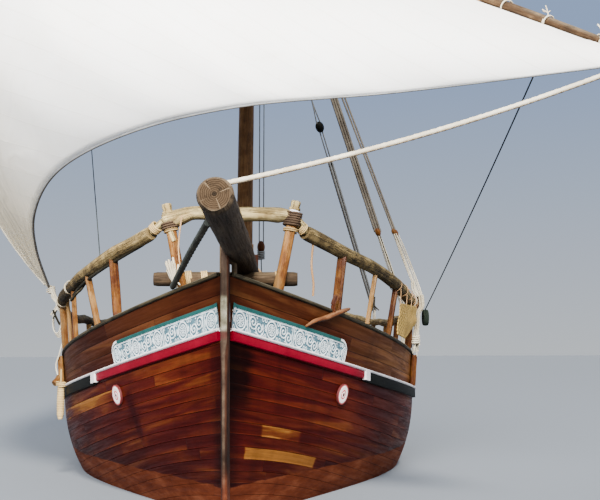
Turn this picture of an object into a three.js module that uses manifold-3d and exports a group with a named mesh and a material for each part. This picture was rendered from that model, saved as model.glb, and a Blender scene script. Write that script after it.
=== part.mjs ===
// Lateen-rigged cargo dhow, full size, in millimetres.
// +X is port, +Y is aft (the bow points along -Y), +Z is up; z = 0 is the waterline amidships.
import * as THREE from 'three';
import Module from 'manifold-3d';

const wasm = await Module();
wasm.setup();

// Driving dimensions.
const BOW = -9000;            // stem line at the height of the wale
const STERN = 8600;           // aft end of the planking at the height of the wale
const BEAM_HALF = 3050;       // half breadth over the planking
const KEEL_TOP = -1250;
const KEEL_BOTTOM = -1500;
const SIDING = 52;            // half thickness of keel and sternpost
const STEM_HALF = 50;
const BULWARK_T = 60;
const MAST_FOOT = [0, -1600];
const MAST_HEAD = [170, -2900, 11500];
const YARD_TACK = [4173, -11000, 4990];
const YARD_SLING = [-143, -2780, 9950];
const YARD_LENGTH = 22800;
const CLEW = [-3248, -3200, 3025];
const GAP = 0.4;              // clearance left between neighbouring bodies

const clamp = (v, a, b) => Math.min(b, Math.max(a, v));
const mix = (a, b, t) => a + (b - a) * t;
const lerp3 = (a, b, t) => [mix(a[0], b[0], t), mix(a[1], b[1], t), mix(a[2], b[2], t)];

// Hull lines.
// Each line is a function of y: half breadth and height.
function aftTaper(y, start, end, loss) {
  const t = clamp((y - start) / (end - start), 0, 1);
  return 1 - loss * t ** 2;
}
function waleHalf(y) {
  const fore = 1 - (1 - clamp((y - BOW) / 6946, 0, 1)) ** 1.921;
  return (SIDING + (BEAM_HALF - SIDING) * fore) * aftTaper(y, 600, STERN, 0.36);
}
function waleZ(y) {
  const fore = 922 * clamp(1 - (y - BOW) / 7433, 0, 1.03) ** 1.888;
  return 1279 + fore + 640 * clamp((y - 300) / (STERN - 300), 0, 1.1) ** 1.9;
}
function topHalf(y) {
  const fore = 1 - (1 - clamp((y + 9143) / 6946, 0, 1)) ** 2.156;
  return (SIDING + (0.981 * BEAM_HALF - SIDING) * fore) * aftTaper(y, 600, STERN, 0.345);
}
function topZ(y) {
  return waleZ(y + 143) + 551 + 98 * clamp(1 - (y + 9143) / 6946, 0, 1.03)
    + 150 * clamp((y - 3000) / (STERN - 3000), 0, 1) ** 2;
}
function railHalf(y) {
  return topHalf(y) * 1.012;
}
function railZ(y) {
  return topZ(y) + 744 + 106 * clamp(1 - (y + 9143) / 6946, 0, 1.02);
}
// Fore-and-aft shift of a station at height z: the stem rakes, and so does the sternpost.
function stemY(z) {
  return z > 1250 ? BOW - (z - 2200) * 0.06 : BOW + 57 + 560 * clamp((1250 - z) / 2500, 0, 1.2) ** 1.15;
}
function sternY(z) {
  return STERN + (z - 1900) * 0.27;
}
function stationY(y, z) {
  const f = clamp(1 - (y - BOW) / 6000, 0, 1) ** 2;
  const a = clamp((y - 3000) / (STERN - 3000), 0, 1) ** 2;
  return y + f * (stemY(z) - BOW) + a * (sternY(z) - STERN);
}
// Half breadth of the planking at station y and height z (keel to wale).
function hullHalf(y, z) {
  const top = waleZ(y);
  const t = clamp((z - KEEL_TOP) / (top - KEEL_TOP), 0, 1);
  const foreD = clamp(1 - (y - BOW) / 7400, 0, 1);
  const aftD = clamp((y - 200) / (STERN - 200), 0, 1);
  const a = 2.4 - 1.15 * foreD ** 1.2 - 1.1 * aftD ** 1.3;
  const q = 0.925 - 0.455 * foreD ** 1.6 - 0.70 * aftD ** 2.2;
  const t0 = -KEEL_TOP / (top - KEEL_TOP);
  const c = Math.log(q) / Math.log(1 - (1 - t0) ** a);
  const s = (1 - (1 - t) ** a) ** c;
  const b0 = SIDING;
  return b0 + Math.max(0, waleHalf(y) - b0) * s;
}

// Mesh helpers.
function solidFrom(points, tris) {
  const pos = new Float32Array(points.flat());
  const mesh = new wasm.Mesh({ numProp: 3, vertProperties: pos, triVerts: new Uint32Array(tris.flat()) });
  mesh.merge();
  let m = new wasm.Manifold(mesh);
  if (m.volume() < 0) {
    const flipped = tris.map((t) => [t[0], t[2], t[1]]);
    const triVerts = new Uint32Array(flipped.flat());
    const again = new wasm.Mesh({ numProp: 3, vertProperties: pos, triVerts });
    again.merge();
    m = new wasm.Manifold(again);
  }
  return m;
}
// Closed body from rings of equal length; ends are closed from the ring's middle point.
function loft(rings, ends = 'fan') {
  const n = rings[0].length;
  const pts = rings.flat();
  const tris = [];
  for (let i = 0; i + 1 < rings.length; i++) {
    for (let j = 0; j < n; j++) {
      const a = i * n + j;
      const b = i * n + (j + 1) % n;
      tris.push([a, b, a + n], [b, b + n, a + n]);
    }
  }
  for (const [base, sign] of [[0, 1], [(rings.length - 1) * n, -1]]) {
    const push = (a, b, c) => tris.push(sign > 0 ? [a, c, b] : [a, b, c]);
    if (ends === 'strip') {
      for (let j = 0; j < n / 2 - 1; j++) {
        const p = base + j;
        const q = base + n - 1 - j;
        push(p, p + 1, q);
        push(p + 1, q - 1, q);
      }
    } else {
      const c = [0, 1, 2].map((k) => rings[base / n].reduce((s, p) => s + p[k], 0) / n);
      pts.push(c);
      for (let j = 0; j < n; j++) push(base + j, base + (j + 1) % n, pts.length - 1);
    }
  }
  return solidFrom(pts, tris);
}
// Round or oval bar along a list of points, with one radius a point.
function bar(path, radii, sides = 12, flat = 1) {
  const rings = path.map((p, i) => {
    const a = path[Math.max(0, i - 1)];
    const b = path[Math.min(path.length - 1, i + 1)];
    const t = new THREE.Vector3(b[0] - a[0], b[1] - a[1], b[2] - a[2]).normalize();
    const ref = Math.abs(t.z) > 0.9 ? new THREE.Vector3(0, 1, 0) : new THREE.Vector3(0, 0, 1);
    const u = new THREE.Vector3().crossVectors(t, ref).normalize();
    const v = new THREE.Vector3().crossVectors(u, t).normalize();
    const r = Array.isArray(radii) ? radii[i] : radii;
    return Array.from({ length: sides }, (_, k) => {
      const w = (k / sides) * Math.PI * 2;
      const c = Math.cos(w) * r;
      const s = Math.sin(w) * r * flat;
      return [p[0] + u.x * c + v.x * s, p[1] + u.y * c + v.y * s, p[2] + u.z * c + v.z * s];
    });
  });
  return loft(rings);
}
function box(x0, x1, y0, y1, z0, z1) {
  const ring = (y) => [[x0, y, z0], [x1, y, z0], [x1, y, z1], [x0, y, z1]];
  return loft([ring(y0), ring(y1)]);
}
// Plank set on edge across x, its side outline given as [y, z] points in order.
function slabX(points, half) {
  const flatPoints = (list) => list.map(([y, z]) => new THREE.Vector2(y, z));
  const clockwise = THREE.ShapeUtils.isClockWise(flatPoints(points));
  const outline = clockwise ? [...points].reverse() : points;
  const flat = THREE.ShapeUtils.triangulateShape(flatPoints(outline), []);
  const n = outline.length;
  const pts = [...outline.map(([y, z]) => [half, y, z]), ...outline.map(([y, z]) => [-half, y, z])];
  const tris = [];
  for (const [a, b, c] of flat) tris.push([a, b, c], [a + n, c + n, b + n]);
  for (let i = 0; i < n; i++) {
    const j = (i + 1) % n;
    tris.push([i, i + n, j], [j, i + n, j + n]);
  }
  return solidFrom(pts, tris);
}
// Strip along the boat's side: four corner functions of y make its section.
function strake(y0, y1, steps, corners, side) {
  const rings = [];
  for (let i = 0; i <= steps; i++) {
    const y = mix(y0, y1, i / steps);
    rings.push(corners(y).map(([x, yy, z]) => [x * side, yy, z]));
  }
  return loft(rings);
}
function unite(list) {
  return list.reduce((a, b) => a.add(b));
}

const group = new THREE.Group();
function put(name, manifold) {
  const m = manifold.getMesh();
  const geo = new THREE.BufferGeometry();
  const src = m.vertProperties;
  const stride = m.numProp;
  const pos = new Float32Array(m.numVert * 3);
  for (let i = 0; i < m.numVert; i++) {
    for (let k = 0; k < 3; k++) pos[i * 3 + k] = src[i * stride + k];
  }
  geo.setAttribute('position', new THREE.BufferAttribute(pos, 3));
  geo.setIndex(new THREE.BufferAttribute(new Uint32Array(m.triVerts), 1));
  const mesh = new THREE.Mesh(geo);
  mesh.name = name;
  group.add(mesh);
}
const SIDES = [['port', 1], ['starboard', -1]];

// Hull, keel and posts.
const STATIONS = 64;
const HEIGHTS = 18;
const hullRings = [];
for (let i = 0; i <= STATIONS; i++) {
  const u = i / STATIONS;
  const y = BOW + (STERN - BOW) * (0.35 * u + 0.65 * (0.5 - 0.5 * Math.cos(Math.PI * u)));
  const half = [];
  for (let j = 0; j <= HEIGHTS; j++) {
    const t = (j / HEIGHTS) ** 1.25;
    const z = mix(KEEL_TOP, waleZ(y), t);
    half.push([hullHalf(y, z), stationY(y, z), z]);
  }
  const other = [...half].reverse().map(([x, yy, z]) => [-x, yy, z]);
  hullRings.push([...half, ...other]);
}
const hullSolid = loft(hullRings, 'strip');
put('hull', hullSolid);

const stemOutline = [];
for (let k = 0; k <= 12; k++) {
  const z = mix(KEEL_BOTTOM + 60, 3180, k / 12);
  stemOutline.push([stemY(z) - 250 + 40 * clamp((z - 2900) / 280, 0, 1), z]);
}
stemOutline.push([stemY(3180) - 1, 3180]);
for (const [, y, z] of hullRings[0].slice(0, HEIGHTS + 1).reverse()) stemOutline.push([y - 1, z]);
stemOutline.push([stemY(KEEL_TOP) - GAP - 1, KEEL_BOTTOM]);
stemOutline.push([stemY(KEEL_BOTTOM) - 190, KEEL_BOTTOM]);
put('stem_post', slabX(stemOutline, STEM_HALF));

const keelFore = stemY(KEEL_TOP);
const keelAft = sternY(KEEL_TOP);
put('keel', box(-SIDING, SIDING, keelFore, keelAft, KEEL_BOTTOM, KEEL_TOP - GAP));

const postFace = (z) => sternY(z) + GAP + 1;
const sternpost = [[postFace(KEEL_TOP), KEEL_TOP], [postFace(2500), 2500],
  [postFace(2500) + 170, 2500], [postFace(KEEL_BOTTOM) + 170, KEEL_BOTTOM],
  [keelAft + GAP, KEEL_BOTTOM], [keelAft + GAP, KEEL_TOP]];
put('sternpost', slabX(sternpost, SIDING));

// Rubbing strakes, frieze boards and bulwarks follow the sheer on both sides.
function sideFrame(half, z, y) {
  const e = 5;
  const dx = half(y + e) - half(y - e);
  const l = Math.hypot(dx, 2 * e);
  const lean = stationY(y, z) - y;
  return { x: half(y), y: y + lean, z, nx: (2 * e) / l, ny: -dx / l };
}
// Point at height z, moved outward by d from the side's own surface.
function offset(half, y, z, d) {
  const f = sideFrame(half, z, y);
  return [Math.max(STEM_HALF + 3 + Math.max(0, d) * 0.5, f.x + f.nx * d), f.y + f.ny * d, z];
}
const plankHalf = (y, z) => (yy) => hullHalf(yy, waleZ(yy) + (z - waleZ(y)));
function wall(y, z) {
  const t = clamp((z - waleZ(y)) / (topZ(y) - waleZ(y)), 0, 1);
  return (yy) => mix(waleHalf(yy), topHalf(yy), t);
}
// Station where the red wale ends and the black one starts.
const WALE_SPLIT = { port: -6415, starboard: -6255 };
// Name, from y, to y, depth below the sheer, thickness.
const wales = (side) => [
  ['wale_fore', -8985, WALE_SPLIT[side] - 5, 118, 45],
  ['wale_aft', WALE_SPLIT[side] + 5, STERN - 10, 150, 50],
];
const FRIEZE_END = { port: -7020, starboard: -6920 };
const DECK_T = 45;
// Station of the bulwark's top edge that stands over station y of its foot.
const foreTop = (y) => y - 146 * clamp(1 - (y - BOW) / 4000, 0, 1);
for (const [side, sx] of SIDES) {
  for (const [name, y0, y1, depth, thick] of wales(side)) {
    put(`${name}_${side}`, strake(y0, y1, name === 'wale_aft' ? 40 : 22, (y) => {
      const zt = waleZ(y) - 2;
      const zb = zt - depth;
      return [offset(plankHalf(y, zb), y, zb, 12), offset(plankHalf(y, zb), y, zb, 12 + thick),
        offset(plankHalf(y, zt), y, zt, 9 + thick), offset(plankHalf(y, zt), y, zt, 9)];
    }, sx));
  }
  put(`bulwark_${side}`, strake(-8975, STERN - 10, 60, (y) => {
    const zb = waleZ(y) + 3;
    const yt = foreTop(y);
    const zt = topZ(yt) - 45;
    return [offset(waleHalf, y, zb, -BULWARK_T), offset(waleHalf, y, zb, -1),
      offset(topHalf, yt, zt, -1), offset(topHalf, yt, zt, -BULWARK_T)];
  }, sx));
  put(`cap_${side}`, strake(-8950, STERN - 10, 60, (foot) => {
    const y = foreTop(foot);
    const zb = topZ(y) - 42;
    const zt = topZ(y) + 5;
    return [offset(topHalf, y, zb, -BULWARK_T - 30), offset(topHalf, y, zb, 30),
      offset(topHalf, y, zt, 30), offset(topHalf, y, zt, -BULWARK_T - 30)];
  }, sx));
  put(`frieze_${side}`, strake(-8950, FRIEZE_END[side], 20, (y) => {
    const zb = waleZ(y) + 4;
    const yt = mix(y, foreTop(y), 0.45);
    const zt = waleZ(yt) + 294;
    return [offset(wall(y, zb), y, zb, 8), offset(wall(y, zb), y, zb, 26),
      offset(wall(yt, zt), yt, zt, 26), offset(wall(yt, zt), yt, zt, 8)];
  }, sx));
}

const deckRings = [];
for (let i = 0; i <= 48; i++) {
  const y = mix(-8350, STERN - 10, i / 48);
  const z0 = waleZ(y) + 3;
  const [h, yy] = offset(waleHalf, y, z0, -BULWARK_T - 20);
  const camber = 70 * (waleHalf(y) / BEAM_HALF) ** 2;
  const xs = [-1, -0.5, 0, 0.5, 1];
  deckRings.push([[-h, yy, z0], [h, yy, z0],
    ...xs.reverse().map((k) => [k * h, yy, z0 + DECK_T + camber * (1 - k * k)])]);
}
put('deck', loft(deckRings));

const transomRing = (back) => {
  const pts = [];
  for (let j = 0; j <= 14; j++) {
    const z = mix(120, waleZ(STERN), j / 14);
    pts.push([hullHalf(STERN, z) + 25, sternY(z) + back, z]);
  }
  const zTop = topZ(STERN) + 150;
  pts.push([topHalf(STERN) + 25, sternY(zTop) + back, zTop]);
  const other = [...pts].reverse().map(([x, y, z]) => [-x, y, z]);
  return [...pts, ...other];
};
const transom = loft([transomRing(2), transomRing(72)], 'strip');
const postRoom = slabX([[7000, -2000], [7000, 2700], [10500, 2700], [10500, -2000]], SIDING + 3);
put('transom', transom.subtract(postRoom));

// Painted eyes.
const EYE_RADIUS = 140;
for (const [side, sx] of SIDES) {
  const z = 1390;
  const at = side === 'port' ? -6970 : -6890;
  const probe = (dy, dz) => [hullHalf(at + dy, z + dz), stationY(at + dy, z + dz), z + dz];
  const p = probe(0, 0);
  const u = new THREE.Vector3(...probe(5, 0)).sub(new THREE.Vector3(...p)).normalize();
  const v = new THREE.Vector3(...probe(0, 5)).sub(new THREE.Vector3(...p)).normalize();
  const n = new THREE.Vector3().crossVectors(v, u).normalize();
  if (n.x < 0) n.negate();
  const disc = (d) => Array.from({ length: 32 }, (_, k) => {
    const w = (k / 32) * Math.PI * 2;
    const q = [Math.cos(w) * EYE_RADIUS, Math.sin(w) * EYE_RADIUS];
    return [sx * (p[0] + u.x * q[0] + v.x * q[1] + n.x * d), p[1] + u.y * q[0] + v.y * q[1] + n.y * d,
      p[2] + u.z * q[0] + v.z * q[1] + n.z * d];
  });
  put(`eye_${side}`, loft([disc(8), disc(34)]));
}

// Spars and timbers of the bow.
const spritAxis = (y) => [mix(2, 252, (y + 11500) / 4600), y, mix(3366, 2945, (y + 11500) / 4600)];
const sprit = bar([-11505, -11460, -9300, -6900].map(spritAxis), [150, 168, 168, 136], 20);
const headLog = bar([[-927, -8045, 2850], [850, -8045, 2850]], 90, 16);
const stemSpace = (d) => slabX(stemOutline.map(([y, z]) => [y + d, z]), 53);
put('bowsprit', sprit.subtract(bar([[-928, -8045, 2850], [851, -8045, 2850]], 91, 16))
  .subtract(stemSpace(-1)).subtract(stemSpace(1)));
put('head_log', headLog);
const gallowsPosts = [];
const GALLOWS_Y = -8210;
for (const [x0, x1] of [[495, 832], [-455, -772]]) {
  const foot = [x0, GALLOWS_Y, waleZ(GALLOWS_Y) + 110];
  const head = [x1, GALLOWS_Y, 3800];
  const path = [0, 0.86, 0.90, 0.93, 0.96, 1].map((t) => lerp3(foot, head, t));
  gallowsPosts.push(bar(path, [66, 62, 52, 60, 64, 48], 14));
}
const gallowsBeam = bar([[-740, GALLOWS_Y, 3570], [-500, GALLOWS_Y, 3650], [-100, GALLOWS_Y, 3640],
  [380, GALLOWS_Y, 3640], [790, GALLOWS_Y, 3610]], [105, 80, 92, 102, 90], 14);
put('gallows', unite([...gallowsPosts, gallowsBeam]));

const heelZ = spritAxis(-6900)[2];
put('heel_post', box(150, 350, -6868, -6668, waleZ(-6700) + 125, heelZ + 330));

// Mast and its beam.
const mastAt = (z) => {
  const t = (z - 1400) / (MAST_HEAD[2] - 1400);
  return [mix(MAST_FOOT[0], MAST_HEAD[0], t), mix(MAST_FOOT[1], MAST_HEAD[1], t), z];
};
const mastFootZ = waleZ(-1600) + 150;
const mastPath = [mastFootZ, 4000, 8000, 11000, 11100, 11500].map(mastAt);
const mastRadii = [158, 152, 128, 105, 125, 118];
const mast = bar(mastPath, mastRadii, 20);
put('mast', mast);
const beamZ = waleZ(-1600) + 350;
const beamY = mastAt(beamZ)[1] + 158 + 135;
const beamHalf = topHalf(beamY) - BULWARK_T - 40;
put('mast_beam', box(-beamHalf, beamHalf, beamY - 105, beamY + 105, beamZ - 110, beamZ + 110));

// Pole rails.
const RAIL_FROM = -8080;
const RAIL_TO = 6300;
const POSTS = {
  port: [-7350, -6450, -5600, -4300, -2500, -700, 1100, 2900, 4600, 6000],
  starboard: [-7200, -6350, -5600, -4300, -2500, -700, 1100, 2900, 4600, 6000],
};
for (const [side, sx] of SIDES) {
  const path = [];
  for (let i = 0; i <= 40; i++) {
    const y = mix(RAIL_FROM, RAIL_TO, i / 40);
    path.push([sx * railHalf(y), y, railZ(y)]);
  }
  const pole = bar(path, path.map((_, i) => mix(92, 70, i / 40)), 12);
  const posts = POSTS[side].map((y) => bar([
    [sx * (topHalf(y) - 30), y, topZ(y) + 18],
    [sx * railHalf(y), y, railZ(y) + 20],
  ], 48, 8));
  put(`pole_rail_${side}`, unite([pole, ...posts]));
}

// Yard and sail.
const span = (a, b) => Math.hypot(b[0] - a[0], b[1] - a[1], b[2] - a[2]);
const slingShare = span(YARD_TACK, YARD_SLING) / YARD_LENGTH;
const YARD_PEAK = lerp3(YARD_TACK, YARD_SLING, 1 / slingShare);
// A slight bend droops both ends below the sling.
const yardAt = (t) => {
  const p = lerp3(YARD_TACK, YARD_PEAK, t);
  return [p[0], p[1], p[2] - 260 * ((t - slingShare) / 0.55) ** 2];
};
const yardPath = Array.from({ length: 15 }, (_, i) => yardAt(mix(-0.012, 1.012, i / 14)));
const yardRadius = (t) => mix(118, 30, clamp(Math.abs(t - slingShare) / 0.5, 0, 1) ** 1.3);
const yardRadii = yardPath.map((_, i) => yardRadius(mix(-0.012, 1.012, i / 14)));
put('yard', bar(yardPath, yardRadii, 12));

// Rope collar that holds the yard to the mast and turns round it.
const COLLAR_Z = YARD_SLING[2];
const collarTurn = (r, h) => bar([mastAt(COLLAR_Z - h), mastAt(COLLAR_Z + h)], r, 24);
const chock = bar([YARD_SLING, [mastAt(COLLAR_Z)[0] - 140, mastAt(COLLAR_Z)[1] - 64, COLLAR_Z]], 60, 12);
const yardSpace = bar(yardPath, yardRadii.map((r) => r + 1), 12);
put('parrel', collarTurn(190, 55).add(chock).subtract(collarTurn(150, 90)).subtract(yardSpace));

// Edges of the cloth; r runs from the tack (0) to the leech (1).
// Foot of the sail from tack to clew: r, x, y, z.
const FOOT = [
  [0, 4177, -10980, 4766],
  [0.2, 1895, -10000, 4714],
  [0.4, 137, -9450, 4678],
  [0.55, -1152, -8550, 4590],
  [0.7, -2367, -7000, 4382],
  [0.82, -2983, -5600, 4003],
  [0.92, -3218, -4400, 3590],
  [1, ...CLEW],
];
const footCurve = new THREE.CatmullRomCurve3(FOOT.map(([, x, y, z]) => new THREE.Vector3(x, y, z)));
const footAt = (r) => {
  let i = 0;
  while (i < FOOT.length - 2 && r > FOOT[i + 1][0]) i += 1;
  const share = (r - FOOT[i][0]) / (FOOT[i + 1][0] - FOOT[i][0]);
  return footCurve.getPoint(clamp((i + share) / (FOOT.length - 1), 0, 1)).toArray();
};
const leechAt = (q) => {
  const p = lerp3(yardAt(0.985), CLEW, q);
  const out = 2680 * Math.sin(Math.PI * q) * (0.2 + 1.2 * q * q);
  return [p[0] - 0.9 * out, p[1] - 0.44 * out, p[2]];
};
function sailPoint(r, q) {
  const a = yardAt(0.008 + 0.977 * r);
  const b = footAt(r);
  const edge = leechAt(q);
  const flat = lerp3(yardAt(0.985), CLEW, q);
  const w = r ** 1.6;
  const belly = 1500 * Math.sin(Math.PI * r) * Math.sin(Math.PI * q) ** 0.8;
  return [0, 1, 2].map((k) => mix(a[k], b[k], q) + w * (edge[k] - flat[k])
    + belly * [-0.74, -0.67, 0.1 * q][k]);
}
const SAIL_T = 12;
const NR = 26;
const NQ = 22;
const sailRings = [];
for (let i = 0; i <= NR; i++) {
  const r = mix(0.014, 1, i / NR);
  const front = [];
  const back = [];
  for (let j = 0; j <= NQ; j++) {
    const q = mix(0.0, 1, j / NQ);
    const p = new THREE.Vector3(...sailPoint(r, q));
    const e = 0.004;
    const r1 = new THREE.Vector3(...sailPoint(Math.min(1, r + e), q));
    const r0 = new THREE.Vector3(...sailPoint(Math.max(0, r - e), q));
    const q1 = new THREE.Vector3(...sailPoint(r, Math.min(1, q + e)));
    const q0 = new THREE.Vector3(...sailPoint(r, Math.max(0, q - e)));
    const n = new THREE.Vector3().crossVectors(r1.sub(r0), q1.sub(q0)).normalize();
    const lead = (yardRadius(r) * 1.2 + 16) * (1 - q) ** 3;
    const drop = new THREE.Vector3(-0.55, -0.5, -0.67).multiplyScalar(lead);
    front.push(p.clone().add(drop).addScaledVector(n, SAIL_T / 2).toArray());
    back.push(p.clone().add(drop).addScaledVector(n, -SAIL_T / 2).toArray());
  }
  sailRings.push([...front, ...back.reverse()]);
}
put('sail', loft(sailRings, 'strip'));

// Shrouds of the windward side.
// Stays: where each passes outside the rail, its lashed end below, its radius and where it meets the mast.
// x, y, z of the passing point, x and z of the end, radius, then height on the mast and x and y off its centre.
const STAYS = [
  [3222, -1000, 2440, 3085, 1960, 40, 10930, 112, 20],
  [2992, -4010, 2790, 2925, 1960, 26, 10840, 112, 20],
  [3026, -3960, 2790, 2925, 1960, 26, 10750, 112, 20],
  [3058, 3090, 2690, 2972, 2110, 34, 10660, -82, 116],
];
const offMast = (z, dx, dy) => {
  const p = mastAt(z);
  return [p[0] + dx, p[1] + dy, p[2]];
};
const stayBar = (extra) => STAYS.map(([x, y, z, xe, ze, r, top, dx, dy]) => {
  const long = bar([offMast(top, dx, dy), [x, y, z]], r + extra, 6);
  const radii = [r + 12, r + 8, r + 4].map((v) => v + extra);
  return long.add(bar([[x, y, z + 60], [x - 4, y, z - 90], [xe, y, ze]], radii, 8));
});
const stays = stayBar(0);
const stayRoom = stayBar(1.5);
const stropPath = (extra) => [10960 + extra, 10780, 10630 - extra].map((z) => offMast(z, 112, 20));
const strop = (extra) => bar(stropPath(extra), 45 + extra, 8);
const mastRoom = bar(mastPath, mastRadii.map((r) => r + 1), 20);
put('shroud_main_port', strop(0).add(stays[0]).subtract(mastRoom));
put('shrouds_fore_port', stays[1].add(stays[2]).subtract(mastRoom).subtract(strop(1.5)).subtract(stayRoom[0]));
put('stay_aft_port', stays[3].subtract(mastRoom).subtract(strop(1.5)).subtract(stayRoom[0])
  .subtract(stayRoom[1]).subtract(stayRoom[2]));

// Rudder and tiller.
const RAKE = 0.27;
const hingeY = (z) => postFace(z) + 235;
const rudder = [[hingeY(KEEL_BOTTOM + 40) + 5, KEEL_BOTTOM + 40], [hingeY(2950) + 5, 2950],
  [hingeY(2950) + 260, 2950], [hingeY(1500) + 300, 1500], [hingeY(300) + 700, 300],
  [hingeY(-700) + 1150, -700], [hingeY(KEEL_BOTTOM + 40) + 1150, KEEL_BOTTOM + 40]];
put('rudder', slabX(rudder, 45));
const tillerBase = [0, hingeY(3060) + 150, 3052];
const tillerPath = [[180, 3013], [-400, 3050], [-2300, 3260]].map(([dy, z]) => [0, tillerBase[1] + dy, z]);
put('tiller', bar(tillerPath, [62, 55, 36], 12));

// Deck fittings.
// Block standing on the deck, its bottom and top following the sheer.
const deckTop = (y) => waleZ(y) + 3 + DECK_T + 70 * (waleHalf(y) / BEAM_HALF) ** 2;
function onDeck(half, y0, y1, low, high) {
  const rings = [];
  for (let i = 0; i <= 8; i++) {
    const y = mix(y0, y1, i / 8);
    const z = deckTop(y);
    rings.push([[-half, y, z + low], [half, y, z + low], [half, y, z + high], [-half, y, z + high]]);
  }
  return loft(rings);
}
put('hatch_coaming', onDeck(900, 500, 2700, 2, 260).subtract(onDeck(840, 560, 2640, -9, 280)));
put('hatch_cover', onDeck(930, 470, 2730, 266, 306));

put('stern_bench', unite([onDeck(1150, 6900, 7300, 430, 475), onDeck(900, 6960, 7020, 30, 440),
  onDeck(900, 7180, 7240, 30, 440)]));
const tz = topZ(STERN) + 152;
const tx = topHalf(STERN) + 60;
put('taffrail', box(-tx, tx, sternY(tz) - 30, sternY(tz) + 130, tz, tz + 55).subtract(transom));

// Gear hung on the rails.
// The mat hangs level and its after lower corner is cut away.
put('mat_port', strake(-5600, -4120, 12, (y) => {
  const zt = Math.min(railZ(y) - 105, 2670);
  const zb = mix(topZ(y) + 60, zt - 190, clamp((y + 5200) / 1080, 0, 1));
  const lean = (z) => 24 + 62 * (z - topZ(y) - 60) / (railZ(y) - topZ(y) - 165);
  return [offset(topHalf, y, zb, lean(zb)), offset(topHalf, y, zb, lean(zb) + 42),
    offset(topHalf, y, zt, lean(zt) + 36), offset(topHalf, y, zt, lean(zt))];
}, 1));

put('fender_port', bar([[3105, -3500, 2530], [3200, -3500, 2530]], 138, 24));
const cordZ = [1700, 1480, 1440, 1180, 1000, 930];
const cordPath = cordZ.map((z) => [-(waleHalf(-4600) + 128), -4600, z]);
put('fender_starboard', bar(cordPath, [12, 14, 52, 60, 56, 30], 12));
// Timber on the outside of each bulwark that takes the lashings.
for (const [side, sx] of SIDES) {
  const timber = strake(-4090, -3930, 2, (y) => {
    const zb = waleZ(-4010) + 14;
    const zt = topZ(-4010) - 52;
    return [offset(wall(y, zb), y, zb, 6), offset(wall(y, zb), y, zb, 96),
      offset(wall(y, zt), y, zt, 96), offset(wall(y, zt), y, zt, 6)];
  }, sx);
  put(`side_timber_${side}`, timber);
}

export default group;
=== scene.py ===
"""Looks of a lateen cargo dhow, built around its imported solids.

Metres in the solids' own frame: +X port, +Y aft, +Z up, z = 0 the waterline.
"""
import math

import bpy
import numpy as np
from mathutils import Matrix, Vector


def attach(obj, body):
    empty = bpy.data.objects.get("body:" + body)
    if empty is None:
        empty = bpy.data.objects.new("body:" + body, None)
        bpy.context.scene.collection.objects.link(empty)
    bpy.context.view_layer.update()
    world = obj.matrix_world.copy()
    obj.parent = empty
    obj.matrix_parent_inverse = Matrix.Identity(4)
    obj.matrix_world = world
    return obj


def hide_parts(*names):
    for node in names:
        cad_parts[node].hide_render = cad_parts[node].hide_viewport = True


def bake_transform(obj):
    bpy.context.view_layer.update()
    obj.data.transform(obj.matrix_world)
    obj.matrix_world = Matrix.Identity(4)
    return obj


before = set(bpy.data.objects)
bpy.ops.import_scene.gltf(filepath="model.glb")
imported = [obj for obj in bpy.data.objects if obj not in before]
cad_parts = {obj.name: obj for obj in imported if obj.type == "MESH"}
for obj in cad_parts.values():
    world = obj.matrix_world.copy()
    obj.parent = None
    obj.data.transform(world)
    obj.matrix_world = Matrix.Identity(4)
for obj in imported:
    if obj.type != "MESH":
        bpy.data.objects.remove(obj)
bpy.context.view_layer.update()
SIDES = (("port", 1.0), ("starboard", -1.0))

# Hull lines, the same as the solids'. y runs aft from the bow; each line gives a half breadth or a height.
BOW, STERN = -9.0, 8.6
BEAM_HALF = 3.05
KEEL_TOP = -1.25
SIDING, STEM_HALF = 0.052, 0.05
BULWARK_T = 0.06


def share(v, low, high, most=1.0):
    """Where v lies between low and high, held between 0 and most."""
    return np.clip((v - low) / (high - low), 0.0, most)


def aft_taper(y, loss):
    return 1 - loss * share(y, 0.6, STERN) ** 2


def wale_half(y):
    fore = 1 - (1 - share(y, BOW, BOW + 6.946)) ** 1.921
    return (SIDING + (BEAM_HALF - SIDING) * fore) * aft_taper(y, 0.36)


def wale_z(y):
    fore = 0.922 * np.clip(1 - (y - BOW) / 7.433, 0, 1.03) ** 1.888
    return 1.279 + fore + 0.64 * share(y, 0.3, STERN, 1.1) ** 1.9


def top_half(y):
    fore = 1 - (1 - share(y, -9.143, -2.197)) ** 2.156
    return (SIDING + (0.981 * BEAM_HALF - SIDING) * fore) * aft_taper(y, 0.345)


def top_z(y):
    bow_rise = 0.098 * np.clip(1 - (y + 9.143) / 6.946, 0, 1.03)
    return wale_z(y + 0.143) + 0.551 + bow_rise + 0.15 * share(y, 3.0, STERN) ** 2


def rail_half(y):
    return top_half(y) * 1.012


def rail_z(y):
    return top_z(y) + 0.744 + 0.106 * np.clip(1 - (y + 9.143) / 6.946, 0, 1.02)


def stem_y(z):
    above = BOW - (z - 2.2) * 0.06
    below = BOW + 0.057 + 0.56 * np.clip((1.25 - z) / 2.5, 0, 1.2) ** 1.15
    return np.where(z > 1.25, above, below)


def stern_y(z):
    return STERN + (z - 1.9) * 0.27


def station_y(y, z):
    """Station y leans fore and aft with the stem and the sternpost at height z."""
    fore = np.clip(1 - (y - BOW) / 6.0, 0, 1) ** 2
    aft = share(y, 3.0, STERN) ** 2
    return y + fore * (stem_y(z) - BOW) + aft * (stern_y(z) - STERN)


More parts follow.
